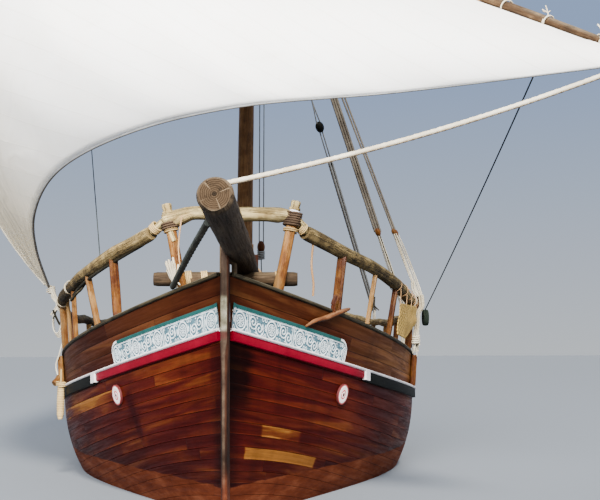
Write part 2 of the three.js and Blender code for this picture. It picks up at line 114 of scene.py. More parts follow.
def hull_half(y, z):
    """Half breadth: b = siding + (wale - siding) (1 - (1 - t)^a)^c, t the height from keel to wale."""
    top = wale_z(y)
    t = np.clip((z - KEEL_TOP) / (top - KEEL_TOP), 0, 1)
    fore = np.clip(1 - (y - BOW) / 7.4, 0, 1)
    aft = share(y, 0.2, STERN)
    a = 2.4 - 1.15 * fore**1.2 - 1.1 * aft**1.3
    q = 0.925 - 0.455 * fore**1.6 - 0.70 * aft**2.2
    t0 = -KEEL_TOP / (top - KEEL_TOP)
    c = np.log(q) / np.log(1 - (1 - t0) ** a)
    return SIDING + np.maximum(0, wale_half(y) - SIDING) * (1 - (1 - t) ** a) ** c


def fore_top(y):
    """Station of the bulwark's top edge that stands over station y of its foot."""
    return y - 0.146 * np.clip(1 - (y - BOW) / 4.0, 0, 1)


def beside(half, y, z, out):
    """Point at height z on a side line, moved outward by out, square to the line."""
    e = 0.005
    dx = half(y + e) - half(y - e)
    run = np.hypot(dx, 2 * e)
    x = np.maximum(STEM_HALF + 0.003 + np.maximum(0, out) * 0.5, half(y) + 2 * e / run * out)
    return np.stack(np.broadcast_arrays(x, station_y(y, z) - dx / run * out, z), -1)


def wall_half(y, z):
    """Half breadth of the bulwark's face at height z."""
    t = np.clip((z - wale_z(y)) / (top_z(y) - wale_z(y)), 0, 1)
    return wale_half(y) + (top_half(y) - wale_half(y)) * t


def beside_wall(y, z, out):
    e = 0.005
    dx = wall_half(y + e, z) - wall_half(y - e, z)
    run = np.hypot(dx, 2 * e)
    x = np.maximum(STEM_HALF + 0.003 + np.maximum(0, out) * 0.5, wall_half(y, z) + 2 * e / run * out)
    return np.stack(np.broadcast_arrays(x, station_y(y, z) - dx / run * out, z), -1)


def mirrored(points, side):
    return points * np.array([side, 1.0, 1.0])


class Form:
    """Grids of points gathered into one mesh."""

    def __init__(self):
        self.points, self.faces, self.uvs, self.tones = [], [], [], []
        self.count = 0

    def _put(self, faces, uvs, flip):
        if flip:
            faces, uvs = faces[:, ::-1], uvs[:, ::-1]
        self.faces.append(faces + self.count)
        self.uvs.append(uvs)

    def grid(self, points, u, v, wrap=False, caps=False, tone=0.0, flip=None):
        """Quads between neighbours of an (n, m, 3) grid; wrap joins the last column to the first.

        caps closes both ends with a fan, or "zip" with quads across a flat ring. A closed form is
        turned to face outward by its signed volume.
        """
        n, m = points.shape[:2]
        cols = m if wrap else m - 1
        u = np.broadcast_to(u if np.ndim(u) == 2 else np.asarray(u)[:, None], (n, cols + 1))
        v = np.broadcast_to(v if np.ndim(v) == 2 else np.asarray(v)[None, :], (n, cols + 1))
        i, j = np.meshgrid(np.arange(n - 1), np.arange(cols), indexing="ij")
        k = (j + 1) % m
        quads = np.stack([i * m + j, (i + 1) * m + j, (i + 1) * m + k, i * m + k], -1).reshape(-1, 4)
        corner = [(i, j), (i + 1, j), (i + 1, j + 1), (i, j + 1)]
        uv = np.stack([np.stack([u[a, b], v[a, b]], -1) for a, b in corner], 2).reshape(-1, 4, 2)
        flat = points.reshape(-1, 3)
        a, b, c, d = (flat[quads[:, x]] for x in range(4))
        if flip is None:
            middle = flat.mean(0)
            a, b, c, d = a - middle, b - middle, c - middle, d - middle
            flip = float((a * np.cross(b, c)).sum() + (a * np.cross(c, d)).sum()) < 0
        self._put(quads, uv, flip)
        tone = np.broadcast_to(np.asarray(tone, float), (n, m)).ravel()
        extra, extra_tone = [], []
        if caps == "zip":
            j = np.arange(m // 2 - 1)
            for row, order in ((0, False), (n - 1, True)):
                quad = row * m + np.stack([j, j + 1, m - 2 - j, m - 1 - j], -1)
                uv = np.stack([np.stack([u[row, k], v[row, k]], -1) for k in
                        (j, j + 1, m - 2 - j, m - 1 - j)], 1)
                self._put(quad[:, ::-1] if order else quad, uv[:, ::-1] if order else uv, flip)
        elif caps:
            for row, order in ((0, False), (n - 1, True)):
                ring = row * m + np.arange(m)
                pole = n * m + len(extra)
                extra.append(points[row].mean(0))
                extra_tone.append(tone[ring[0]])
                near, far = (np.roll(ring, -1), ring) if order else (ring, np.roll(ring, -1))
                fan = np.stack([near, far, np.full(m, pole)], -1)
                self._put(fan, np.tile([[u[row, 0], 0.0], [u[row, 0], 0.1], [u[row, 0], 0.05]], (m, 1, 1)),
                        flip)
        self.points.append(flat)
        self.tones.append(tone)
        self.count += len(flat)
        if extra:
            self.points.append(np.array(extra))
            self.tones.append(np.array(extra_tone))
            self.count += len(extra)
        return self

    def make(self, name, material, body="boat", slot=None, replaces=(), sharp=40):
        mesh = bpy.data.meshes.new(name)
        points = np.concatenate(self.points)
        mesh.vertices.add(len(points))
        mesh.vertices.foreach_set("co", points.astype(np.float32).ravel())
        loops = np.concatenate([f.ravel() for f in self.faces]).astype(np.int32)
        sizes = np.concatenate([np.full(len(f), f.shape[1]) for f in self.faces])
        starts = np.concatenate([[0], np.cumsum(sizes)[:-1]]).astype(np.int32)
        mesh.loops.add(len(loops))
        mesh.loops.foreach_set("vertex_index", loops)
        mesh.polygons.add(len(sizes))
        mesh.polygons.foreach_set("loop_start", starts)
        layer = mesh.uv_layers.new(name="UVMap")
        layer.data.foreach_set("uv", np.concatenate([x.reshape(-1, 2) for x in
                self.uvs]).astype(np.float32).ravel())
        tone = mesh.attributes.new("tone", "FLOAT", "POINT")
        tone.data.foreach_set("value", np.concatenate(self.tones).astype(np.float32))
        mesh.update(calc_edges=True)
        mesh.polygons.foreach_set("use_smooth", np.ones(len(sizes), bool))
        if sharp:
            mesh.set_sharp_from_angle(angle=math.radians(sharp))
        mesh.materials.append(material)
        piece = bpy.data.objects.new(name, mesh)
        bpy.context.scene.collection.objects.link(piece)
        if body:
            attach(piece, body)
        if replaces:
            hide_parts(*([replaces] if isinstance(replaces, str) else replaces))
        return piece


def through(points, count):
    """Smooth line through the points (centripetal Catmull-Rom), count points evenly spaced in its
    parameter."""
    p = np.asarray(points, float)
    p = np.vstack([2 * p[0] - p[1], p, 2 * p[-1] - p[-2]])
    gap = np.linalg.norm(np.diff(p, axis=0), axis=1) ** 0.5
    s = np.linspace(0, len(p) - 3 - 1e-9, count)
    i = s.astype(int)
    t = (s - i)[:, None]
    x0, x1, x2, x3 = p[i], p[i + 1], p[i + 2], p[i + 3]
    g0, g1, g2 = gap[i][:, None], gap[i + 1][:, None], gap[i + 2][:, None]
    m1 = ((x1 - x0) / g0 - (x2 - x0) / (g0 + g1) + (x2 - x1) / g1) * g1
    m2 = ((x2 - x1) / g1 - (x3 - x1) / (g1 + g2) + (x3 - x2) / g2) * g1
    return x1 + m1 * t + (3 * (x2 - x1) - 2 * m1 - m2) * t**2 + (2 * (x1 - x2) + m1 + m2) * t**3


def length_along(path):
    return np.concatenate([[0], np.cumsum(np.linalg.norm(np.diff(path, axis=0), axis=1))])


def across(path, ref):
    """Two unit vectors square to the path at each point, from one fixed direction."""
    t = np.gradient(path, axis=0)
    t /= np.linalg.norm(t, axis=1, keepdims=True)
    u = np.cross(t, np.asarray(ref, float))
    u /= np.linalg.norm(u, axis=1, keepdims=True)
    return u, np.cross(u, t)


def carried(path, radius, sides, ref=(0.0, 0.0, 1.0), power=2.0, flat=1.0, turn=0.0):
    """Ring (r cos a, flat r sin a) carried along a path; power above 2 squares the ring towards a rounded
    box."""
    u, v = across(path, ref)
    a = np.linspace(0, 2 * np.pi, sides, endpoint=False) + turn
    c, s = np.cos(a), np.sin(a)
    swell = (np.abs(c) ** power + np.abs(s) ** power) ** (-1 / power)
    r = np.broadcast_to(radius if np.ndim(radius) == 2 else np.reshape(radius, (-1, 1)),
            (len(path), sides)) * swell
    return path[:, None] + (r * c)[..., None] * u[:, None] + (flat * r * s)[..., None] * v[:, None]


def uneven(length, sides, amount, rng, pitch=0.9, knots=0):
    """Radius factor of a grown pole: slow swells along it, lobes round it and a few knots (Gaussian
    bumps)."""
    s = length[:, None]
    a = np.linspace(0, 2 * np.pi, sides, endpoint=False)[None, :]
    f = np.ones((len(length), sides))
    for k in range(1, 5):
        p = rng.uniform(0, 2 * np.pi, 3)
        f = f + amount / k * np.sin(s * k * 2 * np.pi / (pitch * 2.7) + p[0] + np.sin(a + p[1])) * 0.6
        f = f + amount / k * 0.5 * np.sin(k * a + p[2] + s * 0.7)
    for _ in range(knots):
        at, turn = rng.uniform(0, length[-1]), rng.uniform(0, 2 * np.pi)
        f = f + amount * 3 * np.exp(-(((s - at) / 0.09) ** 2) - 6 * (1 - np.cos(a - turn)))
    return f


def add_pole(form, path, radius, sides=20, amount=0.03, seed=1, knots=0, tone=0.0, ref=(0.0, 0.0, 1.0),
        power=2.0, flat=1.0, turn=0.0):
    """Grown or dressed timber along a path, with rounded ends."""
    rng = np.random.default_rng(seed)
    s = length_along(path)
    r = np.reshape(np.broadcast_to(radius, len(path)), (-1, 1)) * uneven(s, sides, amount, rng, knots=knots)
    ends = np.minimum(s, s[-1] - s)[:, None]
    r = r * np.clip(0.90 + 0.10 * ends / 0.02, 0, 1)
    girth = np.linspace(0, 1, sides + 1) * 2 * np.pi * float(np.mean(radius))
    form.grid(carried(path, r, sides, ref, power, flat, turn), s + seed * 3.7, girth + seed * 1.3,
            wrap=True, caps=True, tone=tone)
    return form


def add_rope(form, path, radius, lay=None, sides=12, strands=3, ref=(0.0, 0.0, 1.0), tone=0.0,
        steps_per_lay=9, grow=(1.0, 1.0)):
    """Laid rope: the ring's radius is R (0.80 + 0.20 |cos(n a / 2 - turn)|), the turn growing along the path.

    R goes from grow's first factor of the radius to its second.
    """
    lay = lay or 9 * radius
    s = length_along(path)
    count = int(np.clip(s[-1] / lay * steps_per_lay, 4, 1500))
    even = np.linspace(0, s[-1], count)
    line = np.stack([np.interp(even, s, path[:, k]) for k in range(3)], -1)
    a = np.linspace(0, 2 * np.pi, sides, endpoint=False)[None, :]
    twist = even[:, None] / lay * 2 * np.pi
    r = radius * (0.80 + 0.20 * np.abs(np.cos(strands * (a - twist) / 2)))
    r = r * np.linspace(*grow, count)[:, None]
    form.grid(carried(line, r, sides, ref), even / radius, np.linspace(0, 1, sides + 1), wrap=True,
            caps=True, tone=tone)
    return form


def coil_path(centre, axis, radius, turns, pitch, steps=22, start=0.0):
    """Helix: centre + axis p t + R (cos t u + sin t v)."""
    axis = np.asarray(axis, float) / np.linalg.norm(axis)
    ref = np.array([0.0, 0.0, 1.0]) if abs(axis[2]) < 0.9 else np.array([0.0, 1.0, 0.0])
    u = np.cross(axis, ref)
    u /= np.linalg.norm(u)
    v = np.cross(axis, u)
    t = np.linspace(0, turns, max(8, int(turns * steps)))[:, None]
    w = 2 * np.pi * t + start
    return np.asarray(centre, float) + axis * pitch * (t - turns / 2) + radius * (np.cos(w) * u + np.sin(w)
            * v)


def add_lashing(form, centre, axis, radius, turns, thick, tone=0.0, seed=0):
    """Turns of rope wound tightly round a spar."""
    path = coil_path(centre, axis, radius + thick, turns, thick * 2.05, start=seed * 1.3)
    form.grid(carried(path, thick, 7, axis), length_along(path) / thick, np.linspace(0, 1, 8), wrap=True,
            caps=True, tone=tone)
    return form


# Materials: a Principled shader in each, fed by nodes; shared effects are node groups.
def feed(tree, socket, value):
    if isinstance(value, bpy.types.NodeSocket):
        tree.links.new(value, socket)
    elif value is not None:
        socket.default_value = value


class Nodes:
    """Short ways to add nodes to a tree and join them."""

    def __init__(self, tree):
        self.tree = tree

    def add(self, kind, inputs=None, **settings):
        node = self.tree.nodes.new("ShaderNode" + kind)
        for key, value in settings.items():
            setattr(node, key, value)
        for key, value in (inputs or {}).items():
            feed(self.tree, node.inputs[key], value)
        return node

    def math(self, op, a, b=None, c=None, clamp=False):
        node = self.add("Math", operation=op, use_clamp=clamp)
        for k, value in enumerate((a, b, c)):
            feed(self.tree, node.inputs[k], value)
        return node.outputs[0]

    def times(self, a, b, **more):
        return self.math("MULTIPLY", a, b, **more)

    def plus(self, a, b, **more):
        return self.math("ADD", a, b, **more)

    def minus(self, a, b, **more):
        return self.math("SUBTRACT", a, b, **more)

    def mix(self, factor, a, b, blend="MIX"):
        node = self.add("Mix", data_type="RGBA", blend_type=blend)
        for k, value in ((0, factor), (6, a), (7, b)):
            if isinstance(value, tuple) and len(value) == 3:
                value = (*value, 1.0)
            feed(self.tree, node.inputs[k], value)
        return node.outputs[2]

    def darker(self, amount, colour, keep=0.3):
        """The colour, brought towards keep times itself by amount."""
        return self.mix(amount, colour, self.mix(1.0, colour, (keep, keep, keep), "MULTIPLY"))

    def ramp(self, factor, stops, interpolation="LINEAR"):
        node = self.add("ValToRGB")
        node.color_ramp.interpolation = interpolation
        while len(node.color_ramp.elements) < len(stops):
            node.color_ramp.elements.new(0.5)
        for element, (at, colour) in zip(node.color_ramp.elements, stops):
            element.position = at
            element.color = (*colour, 1.0)
        feed(self.tree, node.inputs[0], factor)
        return node.outputs[0]

    def noise(self, vector, scale, detail=4.0, roughness=0.55, distortion=0.0):
        return self.add("TexNoise", {"Vector": vector, "Scale": scale, "Detail": detail,
                "Roughness": roughness, "Distortion": distortion}).outputs[0]

    def mapped(self, vector, scale=(1, 1, 1), location=(0, 0, 0), rotation=(0, 0, 0)):
        return self.add("Mapping", {"Vector": vector, "Scale": scale, "Location": location,
                "Rotation": rotation}).outputs[0]

    def split(self, vector):
        return self.add("SeparateXYZ", {0: vector}).outputs

    def join(self, x, y, z=0.0):
        return self.add("CombineXYZ", {0: x, 1: y, 2: z}).outputs[0]

    def smooth(self, value, low, high):
        """0 below low, 1 above high."""
        return self.add("MapRange", {"Value": value, "From Min": low, "From Max": high},
                interpolation_type="SMOOTHSTEP").outputs[0]

    def near(self, value, at, width):
        """1 where the value equals at, 0 beyond width from it."""
        gap = self.math("ABSOLUTE", self.minus(value, at))
        return self.minus(1.0, self.smooth(gap, width * 0.2, width))


def shared(name, inputs, outputs, fill):
    """A node group: inputs are (name, kind, value), outputs are (name, kind)."""
    tree = bpy.data.node_groups.new(name, "ShaderNodeTree")
    for key, kind, value in inputs:
        socket = tree.interface.new_socket(name=key, in_out="INPUT", socket_type="NodeSocket" + kind)
        if value is not None:
            socket.default_value = value
    for key, kind in outputs:
        tree.interface.new_socket(name=key, in_out="OUTPUT", socket_type="NodeSocket" + kind)
    nodes = Nodes(tree)
    ins = tree.nodes.new("NodeGroupInput").outputs
    outs = tree.nodes.new("NodeGroupOutput").inputs
    for key, socket in fill(nodes, ins).items():
        tree.links.new(socket, outs[key])
    return tree


def fill_grain(n, ins):
    """Long streaks along x, a slower figure between them and fine pores."""
    fine = n.noise(n.mapped(ins["Vector"], (0.9, 24, 24)), ins["Scale"], 6.0, 0.65, 0.5)
    slow = n.noise(n.mapped(ins["Vector"], (0.45, 5, 5), (3, 7, 1)), ins["Scale"], 3.0, 0.5, 0.8)
    pores = n.noise(n.mapped(ins["Vector"], (8, 190, 190)), ins["Scale"], 2.0, 0.5)
    streak = n.plus(n.times(fine, 0.7), n.times(pores, 0.3))
    return {"Streak": n.smooth(streak, 0.36, 0.64), "Figure": n.smooth(slow, 0.34, 0.66), "Height": streak}


GRAIN = shared("timber grain", [("Vector", "Vector", None), ("Scale", "Float", 1.0)],
        [("Streak", "Float"), ("Figure", "Float"), ("Height", "Float")], fill_grain)


def fill_joints(n, ins):
    """x runs along the planks in metres, y counts planks; each length of plank gets its own tone. The last
    output is a painted highlight along one edge of each plank.
    """
    x, y, _ = n.split(ins["Vector"])
    row = n.math("FLOOR", y)
    inside = n.math("FRACT", y)
    jump = n.add("TexWhiteNoise", {"W": row}, noise_dimensions="1D").outputs["Value"]
    run = n.plus(n.math("DIVIDE", x, ins["Length"]), n.times(jump, 7.3))
    piece = n.math("FLOOR", run)
    part = n.math("FRACT", run)
    tone = n.add("TexWhiteNoise", {"Vector": n.join(row, piece)}, noise_dimensions="2D").outputs["Value"]
    side = n.times(n.math("MINIMUM", inside, n.minus(1.0, inside)), ins["Width"])
    butt = n.times(n.math("MINIMUM", part, n.minus(1.0, part)), ins["Length"])
    edge = n.math("MINIMUM", side, butt)
    seam = n.minus(1.0, n.add("MapRange", {"Value": edge, "From Min": 0.0,
            "From Max": ins["Gap"]}).outputs[0])
    # Painted highlight: a pale line along one edge of each plank.
    lip = n.minus(1.0, n.smooth(n.times(inside, ins["Width"]), 0.008, 0.026))
    return {"Seam": seam, "Tone": tone, "Lip": lip}


JOINTS = shared("plank joints", [("Vector", "Vector", None), ("Width", "Float", 0.16),
        ("Length", "Float", 3.2),
         ("Gap", "Float", 0.006)],
        [("Seam", "Float"), ("Tone", "Float"), ("Lip", "Float")], fill_joints)


def fill_weather_and_shade(n, ins):
    """Dust lies on what faces up, stains are slow drips, scuffs are small worn spots; the last output
    is painted shade on what faces down."""
    up = n.split(n.add("NewGeometry").outputs["Normal"])[2]
    patch = n.noise(ins["Vector"], n.times(ins["Scale"], 0.9), 5.0, 0.6)
    dust = n.times(n.smooth(up, 0.1, 0.95), n.smooth(patch, 0.3, 0.75))
    drip = n.noise(n.mapped(ins["Vector"], (2.6, 2.6, 0.35)), ins["Scale"], 4.0, 0.6)
    scuff = n.noise(ins["Vector"], n.times(ins["Scale"], 7.0), 3.0, 0.6)
    # Painted shade: a mask of what faces down.
    under = n.smooth(n.times(up, -1.0), 0.2, 0.9)
    return {"Dust": dust, "Stain": n.smooth(drip, 0.48, 0.72), "Scuff": n.smooth(scuff, 0.60, 0.74),
            "Under": under}


WEATHER_AND_SHADE = shared("weathering", [("Vector", "Vector", None), ("Scale", "Float", 1.0)],
        [("Dust", "Float"), ("Stain", "Float"), ("Scuff", "Float"), ("Under", "Float")], fill_weather_and_shade)


def fill_weave(n, ins):
    """Threads both ways: height is the larger of two sine ridges, a slower noise varies the tone."""
    x, y, _ = n.split(ins["Vector"])
    warp = n.math("SINE", n.times(x, ins["Threads"]))
    weft = n.math("SINE", n.times(y, ins["Threads"]))
    return {"Height": n.math("MAXIMUM", warp, weft), "Tone":
            n.noise(n.mapped(ins["Vector"], (1, 6, 1)), 3.0, 5.0, 0.6)}


WEAVE = shared("weave", [("Vector", "Vector", None), ("Threads", "Float", 900.0)],
        [("Height", "Float"), ("Tone", "Float")], fill_weave)


class Finish(Nodes):
    """A material: its Principled shader and the nodes that feed it."""

    def __init__(self, name, roughness=0.6, **sockets):
        self.material = bpy.data.materials.new(name)
        self.material.use_nodes = True
        super().__init__(self.material.node_tree)
        self.shader = self.tree.nodes["Principled BSDF"]
        self.shader.inputs["Roughness"].default_value = roughness
        for key, value in sockets.items():
            self.shader.inputs[key.replace("_", " ")].default_value = value
        self.place = self.add("TexCoord").outputs["Object"]
        self.uv = self.add("UVMap", uv_map="UVMap").outputs[0]

    def group(self, tree, **inputs):
        node = self.add("Group")
        node.node_tree = tree
        for key, value in inputs.items():
            feed(self.tree, node.inputs[key], value)
        return node.outputs

    def tone(self):
        return self.add("Attribute", attribute_name="tone", attribute_type="GEOMETRY").outputs["Fac"]

    def done(self, colour, height=None, depth=0.004, strength=0.6, rough=None):
        feed(self.tree, self.shader.inputs["Base Color"], colour)
        if rough is not None:
            feed(self.tree, self.shader.inputs["Roughness"], rough)
        if height is not None:
            bump = self.add("Bump", {"Height": height, "Distance": depth, "Strength": strength})
            feed(self.tree, self.shader.inputs["Normal"], bump.outputs[0])
        return self.material


def planked(name, stops, along, width, length=3.2, scale=1.0, roughness=0.5, gap=0.006, bottom=None,
        worn=0.35, lip=0.25, patches=False, spread=0.5, dusty=0.12):
    """Planks: a tone for each, grain inside it, dark seams, a painted highlight along one edge of each,
    stains and dust; with patches and a bottom line, also painted shade and a painted shadow beside the stem.

    along is "uv" for a piece with its own planks in its UV map, or two axis letters for object coordinates.
    """
    f = Finish(name, roughness, Specular_IOR_Level=0.03)
    if along == "uv":
        run = f.uv
    else:
        axes = dict(zip("xyz", f.split(f.place)))
        run = f.join(axes[along[0]], f.math("DIVIDE", axes[along[1]], width))
    joints = f.group(JOINTS, Vector=run, Width=width, Length=length, Gap=gap)
    parts = f.split(run)
    grain_at = f.join(parts[0], f.times(parts[1], width), f.times(joints["Tone"], 9.0))
    grain = f.group(GRAIN, Vector=grain_at, Scale=scale)
    weather = f.group(WEATHER_AND_SHADE, Vector=f.place, Scale=0.8)
    shade = f.plus(f.times(joints["Tone"], spread), f.times(grain["Figure"], 0.85 - spread))
    if patches:
        shade = f.plus(shade, f.tone(), clamp=True)
    colour = f.ramp(shade, stops)
    colour = f.darker(f.times(grain["Streak"], 0.6), colour, 0.45)
    # Painted highlight along one edge of each plank.
    colour = f.mix(f.times(joints["Lip"], lip), colour, f.mix(1.0, colour, (1.9, 1.8, 1.8), "MULTIPLY"))
    colour = f.darker(f.times(weather["Stain"], worn), colour, 0.25)
    colour = f.mix(f.times(weather["Dust"], dusty), colour, (0.20, 0.13, 0.08))
    if patches and bottom:
        # Painted shade on the planks close to the stem.
        stem_shade = f.minus(1.0, f.smooth(parts[0], 0.03, 0.30))
        colour = f.darker(f.times(stem_shade, 0.8), colour, 0.35)
        # A painted shadow beside the stem, to port and high up.
        stain = f.minus(1.0, f.smooth(f.plus(parts[0], f.times(grain["Figure"], 0.10)), 0.34, 0.62))
        stain = f.times(stain, f.math("LESS_THAN", parts[1], 30.0))
        stain = f.times(stain, f.smooth(f.split(f.place)[2], 0.9, 1.6))
        colour = f.darker(f.times(stain, 0.95), colour, 0.10)
    colour = f.darker(f.times(joints["Seam"], 0.9), colour, 0.06)
    rough = f.plus(roughness - 0.10, f.times(grain["Streak"], 0.25))
    if bottom:
        height = f.split(f.place)[2]
        edge = f.plus(height, f.times(f.minus(f.noise(f.place, 2.2, 4.0), 0.5), 0.07))
        under = f.minus(1.0, f.smooth(edge, bottom - 0.006, bottom + 0.012))
        paint_tone = f.noise(f.mapped(f.place, (1, 0.4, 2.5)), 3.0, 6.0, 0.65)
        coat = f.ramp(paint_tone, BOTTOM_STOPS)
        scum = f.minus(1.0, f.smooth(edge, bottom, bottom + 0.55))
        colour = f.darker(f.times(scum, 0.35), colour, 0.3)
        colour = f.mix(under, colour, f.darker(f.times(joints["Seam"], 0.6), coat, 0.2))
        rough = f.plus(rough, f.times(under, 0.2))
    height = f.minus(f.times(grain["Height"], 0.35), f.times(joints["Seam"], 1.0))
    return f.done(colour, height, 0.005, 0.55, rough)


def pole_wood(name, stops, roughness=0.65, scale=1.4, dust=0.3, crack=0.6, worn=0.3,
        dust_tone=(0.42, 0.38, 0.27)):
    """Round timber: streaks along it, drying cracks, dust on top, painted shade on what faces down; the
    tone attribute shifts the colour.
    """
    f = Finish(name, roughness, Specular_IOR_Level=0.12)
    grain = f.group(GRAIN, Vector=f.uv, Scale=scale)
    weather = f.group(WEATHER_AND_SHADE, Vector=f.place, Scale=1.6)
    cracks = f.near(f.noise(f.mapped(f.uv, (0.8, 26, 1)), 1.0, 5.0, 0.7, 1.2), 0.5, 0.03)
    blotch = f.noise(f.place, 5.0, 4.0, 0.6)
    shade = f.times(f.plus(grain["Figure"], f.smooth(blotch, 0.35, 0.65)), 0.3)
    colour = f.ramp(f.plus(shade, f.tone(), clamp=True), stops)
    colour = f.darker(f.times(grain["Streak"], 0.5), colour, 0.35)
    colour = f.darker(f.times(cracks, crack), colour, 0.12)
    colour = f.darker(f.times(weather["Stain"], worn), colour, 0.3)
    # Painted shade on what faces down.
    colour = f.darker(f.times(weather["Under"], 0.75), colour, 0.35)
    colour = f.mix(f.times(weather["Dust"], dust), colour, dust_tone)
    height = f.minus(f.times(grain["Height"], 0.5), f.times(cracks, 0.8))
    return f.done(colour, height, 0.004, 0.7, f.plus(roughness - 0.08, f.times(grain["Streak"], 0.2)))


def paint(name, colour_a, colour_b, roughness=0.4, chip=(0.05, 0.02, 0.012), chips=0.25, stain=0.3):
    """Brushed paint over wood: slow fading, brush lines and small chips that show the wood."""
    f = Finish(name, roughness, Specular_IOR_Level=0.05)
    fade = f.noise(f.place, 2.5, 5.0, 0.6)
    brush = f.noise(f.mapped(f.place, (30, 1.6, 60)), 1.0, 4.0, 0.6)
    weather = f.group(WEATHER_AND_SHADE, Vector=f.place, Scale=2.0)
    colour = f.mix(f.smooth(fade, 0.3, 0.7), colour_a, colour_b)
    colour = f.darker(f.times(f.smooth(brush, 0.35, 0.8), 0.3), colour, 0.5)
    colour = f.mix(f.times(weather["Scuff"], chips), colour, chip)
    colour = f.darker(f.times(weather["Stain"], stain), colour, 0.4)
    return f.done(colour, f.plus(brush, weather["Scuff"]), 0.002, 0.4)


def rope_stuff(name, pale, dark, roughness=0.85):
    """Fibre: short hairs along the strands, and painted shade on what faces down; the UV runs along the
    rope in radii.
    """
    f = Finish(name, roughness, Specular_IOR_Level=0.12)
    hairs = f.noise(f.mapped(f.uv, (2.2, 30, 1)), 1.5, 4.0, 0.6)
    soil = f.noise(f.place, 3.5, 5.0, 0.6)
    shade = f.plus(f.times(f.smooth(hairs, 0.3, 0.7), 0.5), f.times(f.smooth(soil, 0.3, 0.7), 0.5))
    colour = f.mix(f.plus(shade, f.tone(), clamp=True), pale, dark)
    # Painted shade: what faces down is darkened towards brown.
    under = f.group(WEATHER_AND_SHADE, Vector=f.place, Scale=1.0)["Under"]
    colour = f.mix(f.times(under, 0.8), colour, f.mix(1.0, colour, (0.50, 0.36, 0.24), "MULTIPLY"))
    return f.done(colour, hairs, 0.003, 0.8)


def carving_finish():
    """Carved board: pale on the ribs, dark at their feet as painted shade, grey blue in the ground.

    The tone attribute is the relief's height. Tone above 1.5 is the green top band, above 2.5 the white rim.
    """
    f = Finish("carved_board", 0.6, Specular_IOR_Level=0.15)
    tone = f.tone()
    patch = f.noise(f.place, 30.0, 4.0, 0.6)
    worn = f.times(f.minus(patch, 0.5), 0.35)
    # The dark stop near tone 0.42, at the feet of the ribs, is painted shade.
    body = f.ramp(f.plus(tone, worn, clamp=True),
            [(0.0, (0.09, 0.18, 0.225)), (0.2, (0.045, 0.10, 0.130)), (0.42, (0.010, 0.030, 0.040)),
             (0.6, (0.40, 0.54, 0.61)), (1.0, (0.82, 0.88, 0.90))])
    colour = f.mix(f.math("GREATER_THAN", tone, 1.5), body, (0.012, 0.075, 0.070))
    colour = f.mix(f.math("GREATER_THAN", tone, 2.5), colour, (0.86, 0.82, 0.82))
    weather = f.group(WEATHER_AND_SHADE, Vector=f.place, Scale=3.0)
    colour = f.darker(f.times(weather["Stain"], 0.4), colour, 0.35)
    return f.done(colour, patch, 0.002, 0.4)


def eye_finish():
    """Painted boss: tone is the distance from its centre."""
    f = Finish("painted_eye", 0.5, Specular_IOR_Level=0.15)
    tone = f.plus(f.tone(), f.times(f.minus(f.noise(f.place, 25.0, 3.0), 0.5), 0.06))
    colour = f.ramp(tone, [(0.0, (0.04, 0.006, 0.008)), (0.17, (0.80, 0.62, 0.60)),
            (0.32, (0.50, 0.05, 0.07)),
             (0.45, (0.84, 0.72, 0.70)), (0.83, (0.30, 0.05, 0.05)), (0.96, (0.08, 0.015, 0.015))],
            "CONSTANT")
    weather = f.group(WEATHER_AND_SHADE, Vector=f.place, Scale=4.0)
    colour = f.mix(f.times(weather["Scuff"], 0.5), colour, (0.25, 0.08, 0.07))
    return f.done(colour, f.noise(f.place, 60.0), 0.002, 0.5)


def sail_finish():
    """Cotton sailcloth: weave, sewn cloths, soil, and creases that fan out from the clew, darkened along them
    as painted shade.

    The tone attribute is the angle round the clew, so a sine of it draws the creases.
    """
    f = Finish("sailcloth", 0.9, Specular_IOR_Level=0.08, Subsurface_Weight=0.35, Subsurface_Scale=0.02,
            Subsurface_Radius=(1.0, 0.9, 0.75))
    u, v, _ = f.split(f.uv)
    weave = f.group(WEAVE, Vector=f.uv, Threads=2400.0)
    cloth = f.math("FRACT", f.math("DIVIDE", v, 0.74))
    seam = f.times(f.math("MINIMUM", cloth, f.minus(1.0, cloth)), 0.74)
    lap = f.minus(1.0, f.smooth(seam, 0.012, 0.016))
    stitch = f.times(f.near(seam, 0.014, 0.003), f.math("GREATER_THAN", f.math("SINE", f.times(u, 260.0)),
            0.0))
    reach = f.add("VectorMath", {0: f.place, 1: tuple(CLEW)}, operation="DISTANCE").outputs["Value"]
    bend = f.times(f.minus(f.noise(f.place, 0.7, 2.0), 0.5), 0.25)
    angle = f.plus(f.tone(), bend)
    crease = f.noise(f.join(f.times(angle, 26.0), f.times(reach, 0.35)), 1.0, 3.0, 0.5)
    fade = f.times(f.minus(1.0, f.smooth(reach, 1.2, 6.0)), f.smooth(reach, 0.1, 0.7))
    soil = f.noise(f.place, 0.55, 6.0, 0.62)
    spots = f.smooth(f.noise(f.mapped(f.place, (1, 1, 2)), 1.6, 6.0, 0.7), 0.60, 0.80)
    colour = f.mix(f.smooth(soil, 0.32, 0.75), (0.93, 0.91, 0.87), (0.88, 0.85, 0.79))
    low = f.minus(1.0, f.smooth(reach, 1.0, 5.5))
    colour = f.mix(f.times(low, 0.85), colour, (0.62, 0.49, 0.30))
    # Painted shade along the creases near the clew.
    colour = f.darker(f.times(f.smooth(crease, 0.45, 0.7), f.times(fade, 0.5)), colour, 0.5)
    colour = f.mix(f.times(lap, 0.12), colour, (0.60, 0.55, 0.45))
    colour = f.mix(f.times(stitch, 0.3), colour, (0.45, 0.40, 0.32))
    colour = f.mix(f.times(spots, 0.22), colour, (0.55, 0.50, 0.38))
    height = f.plus(f.times(weave["Height"], 0.08), lap)
    height = f.plus(height, f.times(f.times(crease, fade), 14.0))
    return f.done(colour, height, 0.0035, 0.7)


